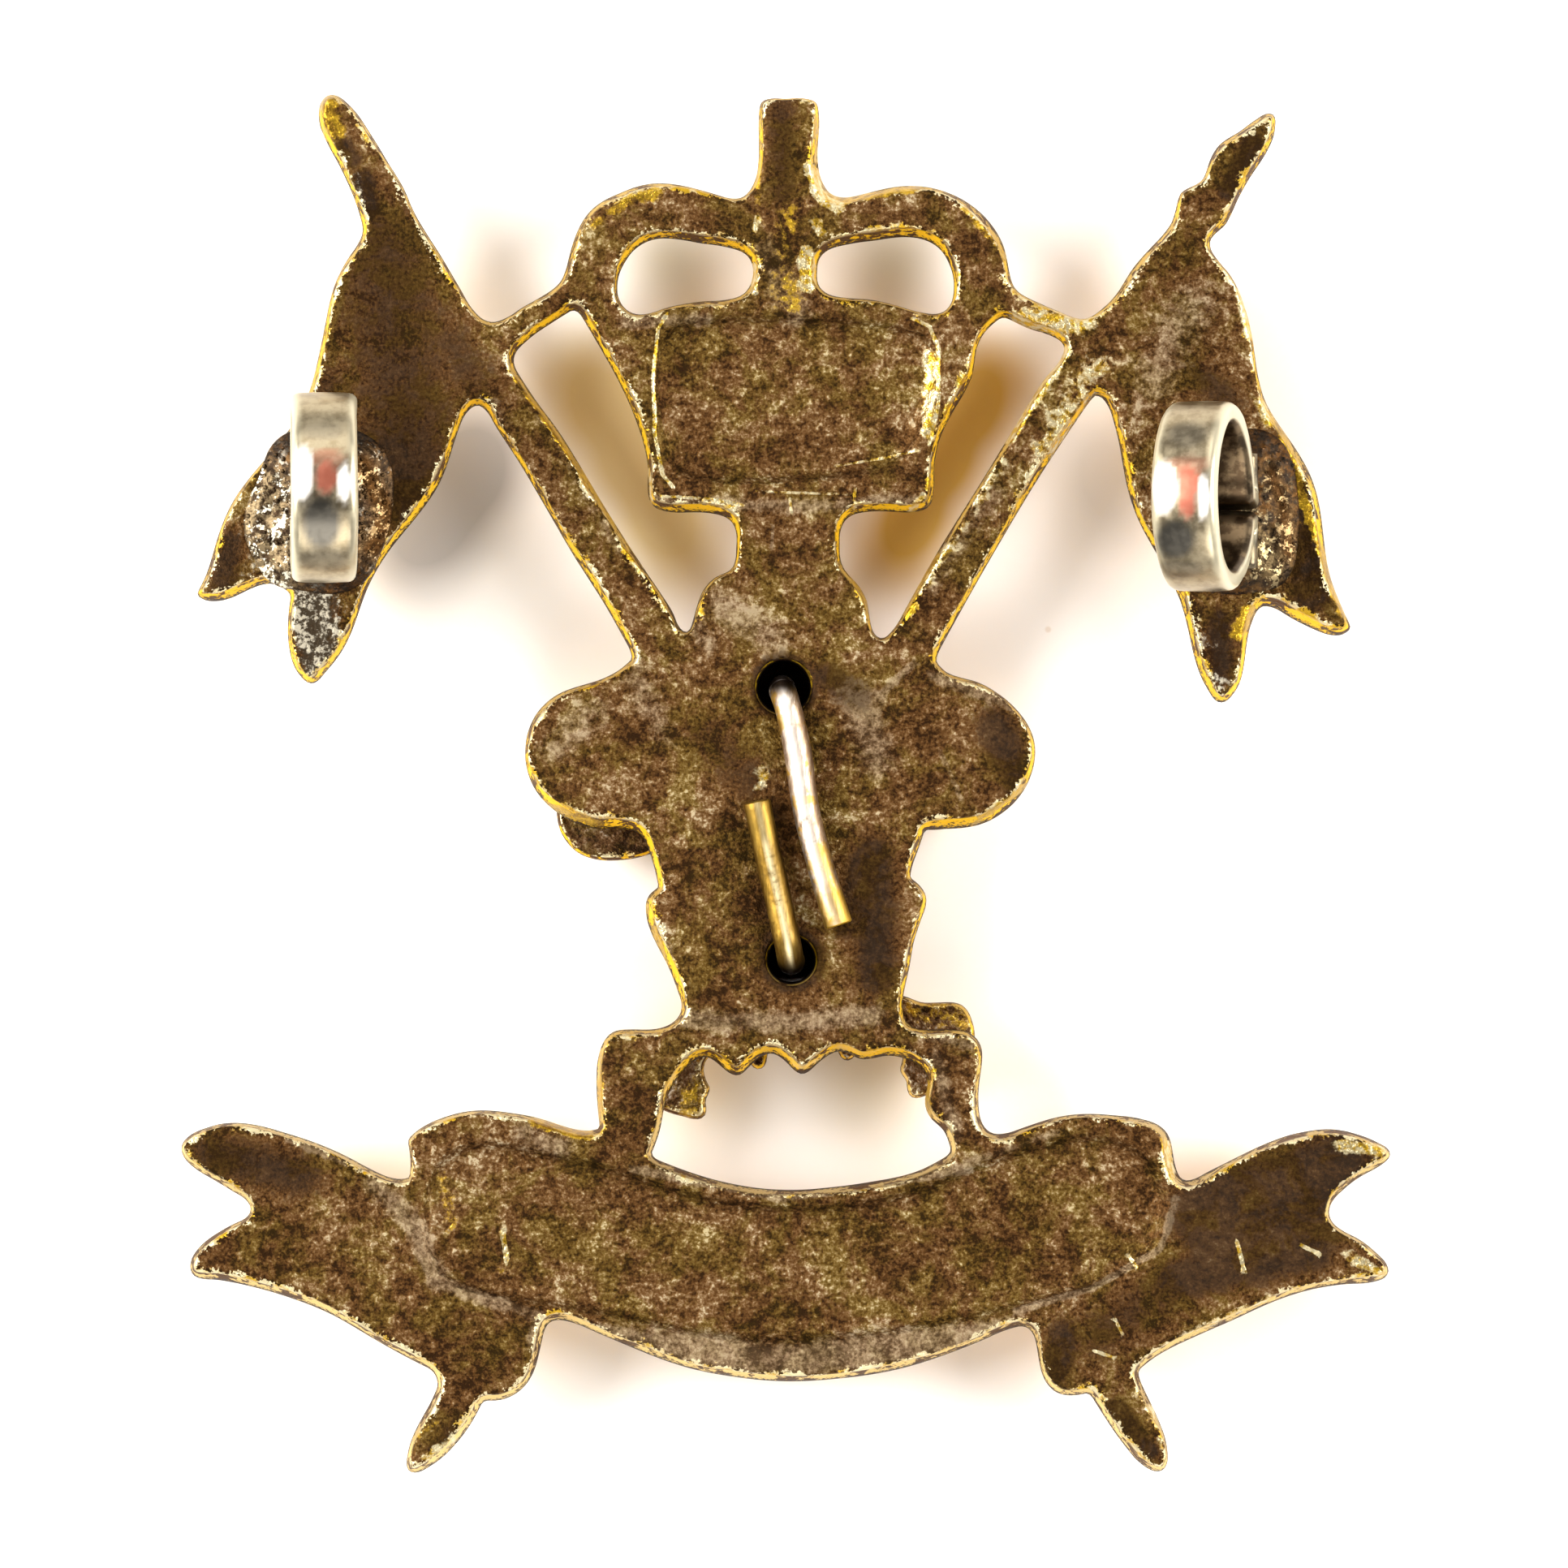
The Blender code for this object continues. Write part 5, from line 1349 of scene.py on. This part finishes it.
# %% The paper
sheet = Sheet(bpy.data.materials.new("paper"))
fibre = sheet.noise(0.8, 4.0, 0.6)
across_page, up_page, _ = sheet.split(sheet.place())
colour = sheet.mix(across_page.ramp(-16.0, 22.0), (0.93, 0.92, 0.90), (0.92, 0.885, 0.865))
speckle = sheet.cells(0.22).ramp(0.035, 0.02) * 0.35
colour = sheet.mix(speckle, colour, (0.62, 0.45, 0.30))
between_lances = (up_page * 0.528 - across_page.math("ABSOLUTE") * 0.85 + 1.08).ramp(-0.4, 0.3)
for thrown, radius, kept_in, centres in [
    ((0.78, 0.66, 0.37), 2.7, True, [(-6.6, 13.4), (-5.6, 11.6), (-4.6, 9.8), (-3.6, 8.0)]),
    ((0.68, 0.46, 0.13), 2.6, True, [(6.7, 13.4), (5.7, 11.6), (4.7, 9.8), (3.8, 7.9)]),
    ((0.60, 0.56, 0.46), 2.6, True, [(-3.8, 17.4), (3.6, 17.4)]),
    ((0.68, 0.62, 0.50), 3.6, False, [(-2.6, -9.7), (2.8, -9.7)]),
    ((0.42, 0.41, 0.40), 3.0, False, [(-12.4, 7.8), (-10.9, 9.4), (-10.2, 11.2)]),
    ((0.72, 0.70, 0.68), 2.4, False, [(10.4, 11.0), (10.9, 9.2)]),
]:
    total = 0.0
    for centre in centres:
        away = sheet.make("ShaderNodeVectorMath", {"operation": "DISTANCE"},
                          {0: sheet.place(), 1: (*centre, 0.0)}, out=1)
        total = away.ramp(radius, 0.0) + total
    total = total * between_lances if kept_in else total
    colour = sheet.mix(total.clamp(), colour, thrown)
paper = sheet.finish(colour, 0.0, 0.85, sheet.bump(fibre, 0.02, 0.3))
sheet.shader.inputs["Specular IOR Level"].default_value = 0.2
floor_mesh = bpy.data.meshes.new("ground")
HALF = 3.0
floor_mesh.from_pydata(
    [(-HALF, -HALF, 0), (HALF, -HALF, 0), (HALF, HALF, 0), (-HALF, HALF, 0)], [], [(0, 1, 2, 3)])
floor_mesh.materials.append(paper)
floor = bpy.data.objects.new("ground", floor_mesh)
bpy.context.scene.collection.objects.link(floor)
floor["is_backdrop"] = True

# %% Sky and lamps
bpy.context.scene.world = bpy.data.worlds.new("studio")
sky = Sheet(bpy.context.scene.world)
*_, upward = sky.split(sky.make("ShaderNodeTexCoord", out="Generated"))
back = bpy.context.scene.world.node_tree.nodes["Background"]
back.inputs["Color"].default_value = (1.0, 0.99, 0.975, 1.0)
sky.feed(back.inputs["Strength"], upward.ramp(0.85, 0.25, 0.18, 0.45))

for name, place, size, power in (
    ("left_lamp", (-0.33, 0.07, 0.24), 0.30, 3.0), ("right_lamp", (0.33, 0.05, 0.25), 0.30, 2.2),
    ("top_lamp", (0.0, 0.32, 0.27), 0.26, 0.5), ("bottom_lamp", (0.0, -0.32, 0.27), 0.26, 0.85),
):
    light = bpy.data.lights.new(name, "AREA")
    light.shape, light.size, light.energy = "DISK", size, power
    light.color = (1.0, 0.985, 0.965)
    lamp = bpy.data.objects.new(name, light)
    lamp.location = place
    lamp.rotation_euler = (-Vector(place)).to_track_quat("-Z", "Y").to_euler()
    bpy.context.scene.collection.objects.link(lamp)

# %% Camera straight above
PLATE_MIDDLE = Vector((-0.04 * MM, 0.0, 0.0))
VIEW_WIDE = 51.71 * MM
CAMERA_HEIGHT = 0.5
camera_data = bpy.data.cameras.new("camera")
camera_data.sensor_width = 36.0
camera_data.lens = 36.0 * CAMERA_HEIGHT / VIEW_WIDE
camera_data.clip_start = 0.01
camera_data.clip_end = 20.0
camera = bpy.data.objects.new("camera", camera_data)
camera.location = PLATE_MIDDLE + Vector((0.0, 0.0, CAMERA_HEIGHT + PLATE_REAR * MM))
bpy.context.scene.collection.objects.link(camera)
bpy.context.scene.camera = camera
bpy.context.scene.view_settings.view_transform = "Standard"

# %% The two boxes, and finish
{"cad": cad_box, "visual": [list(corner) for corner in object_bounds()]}
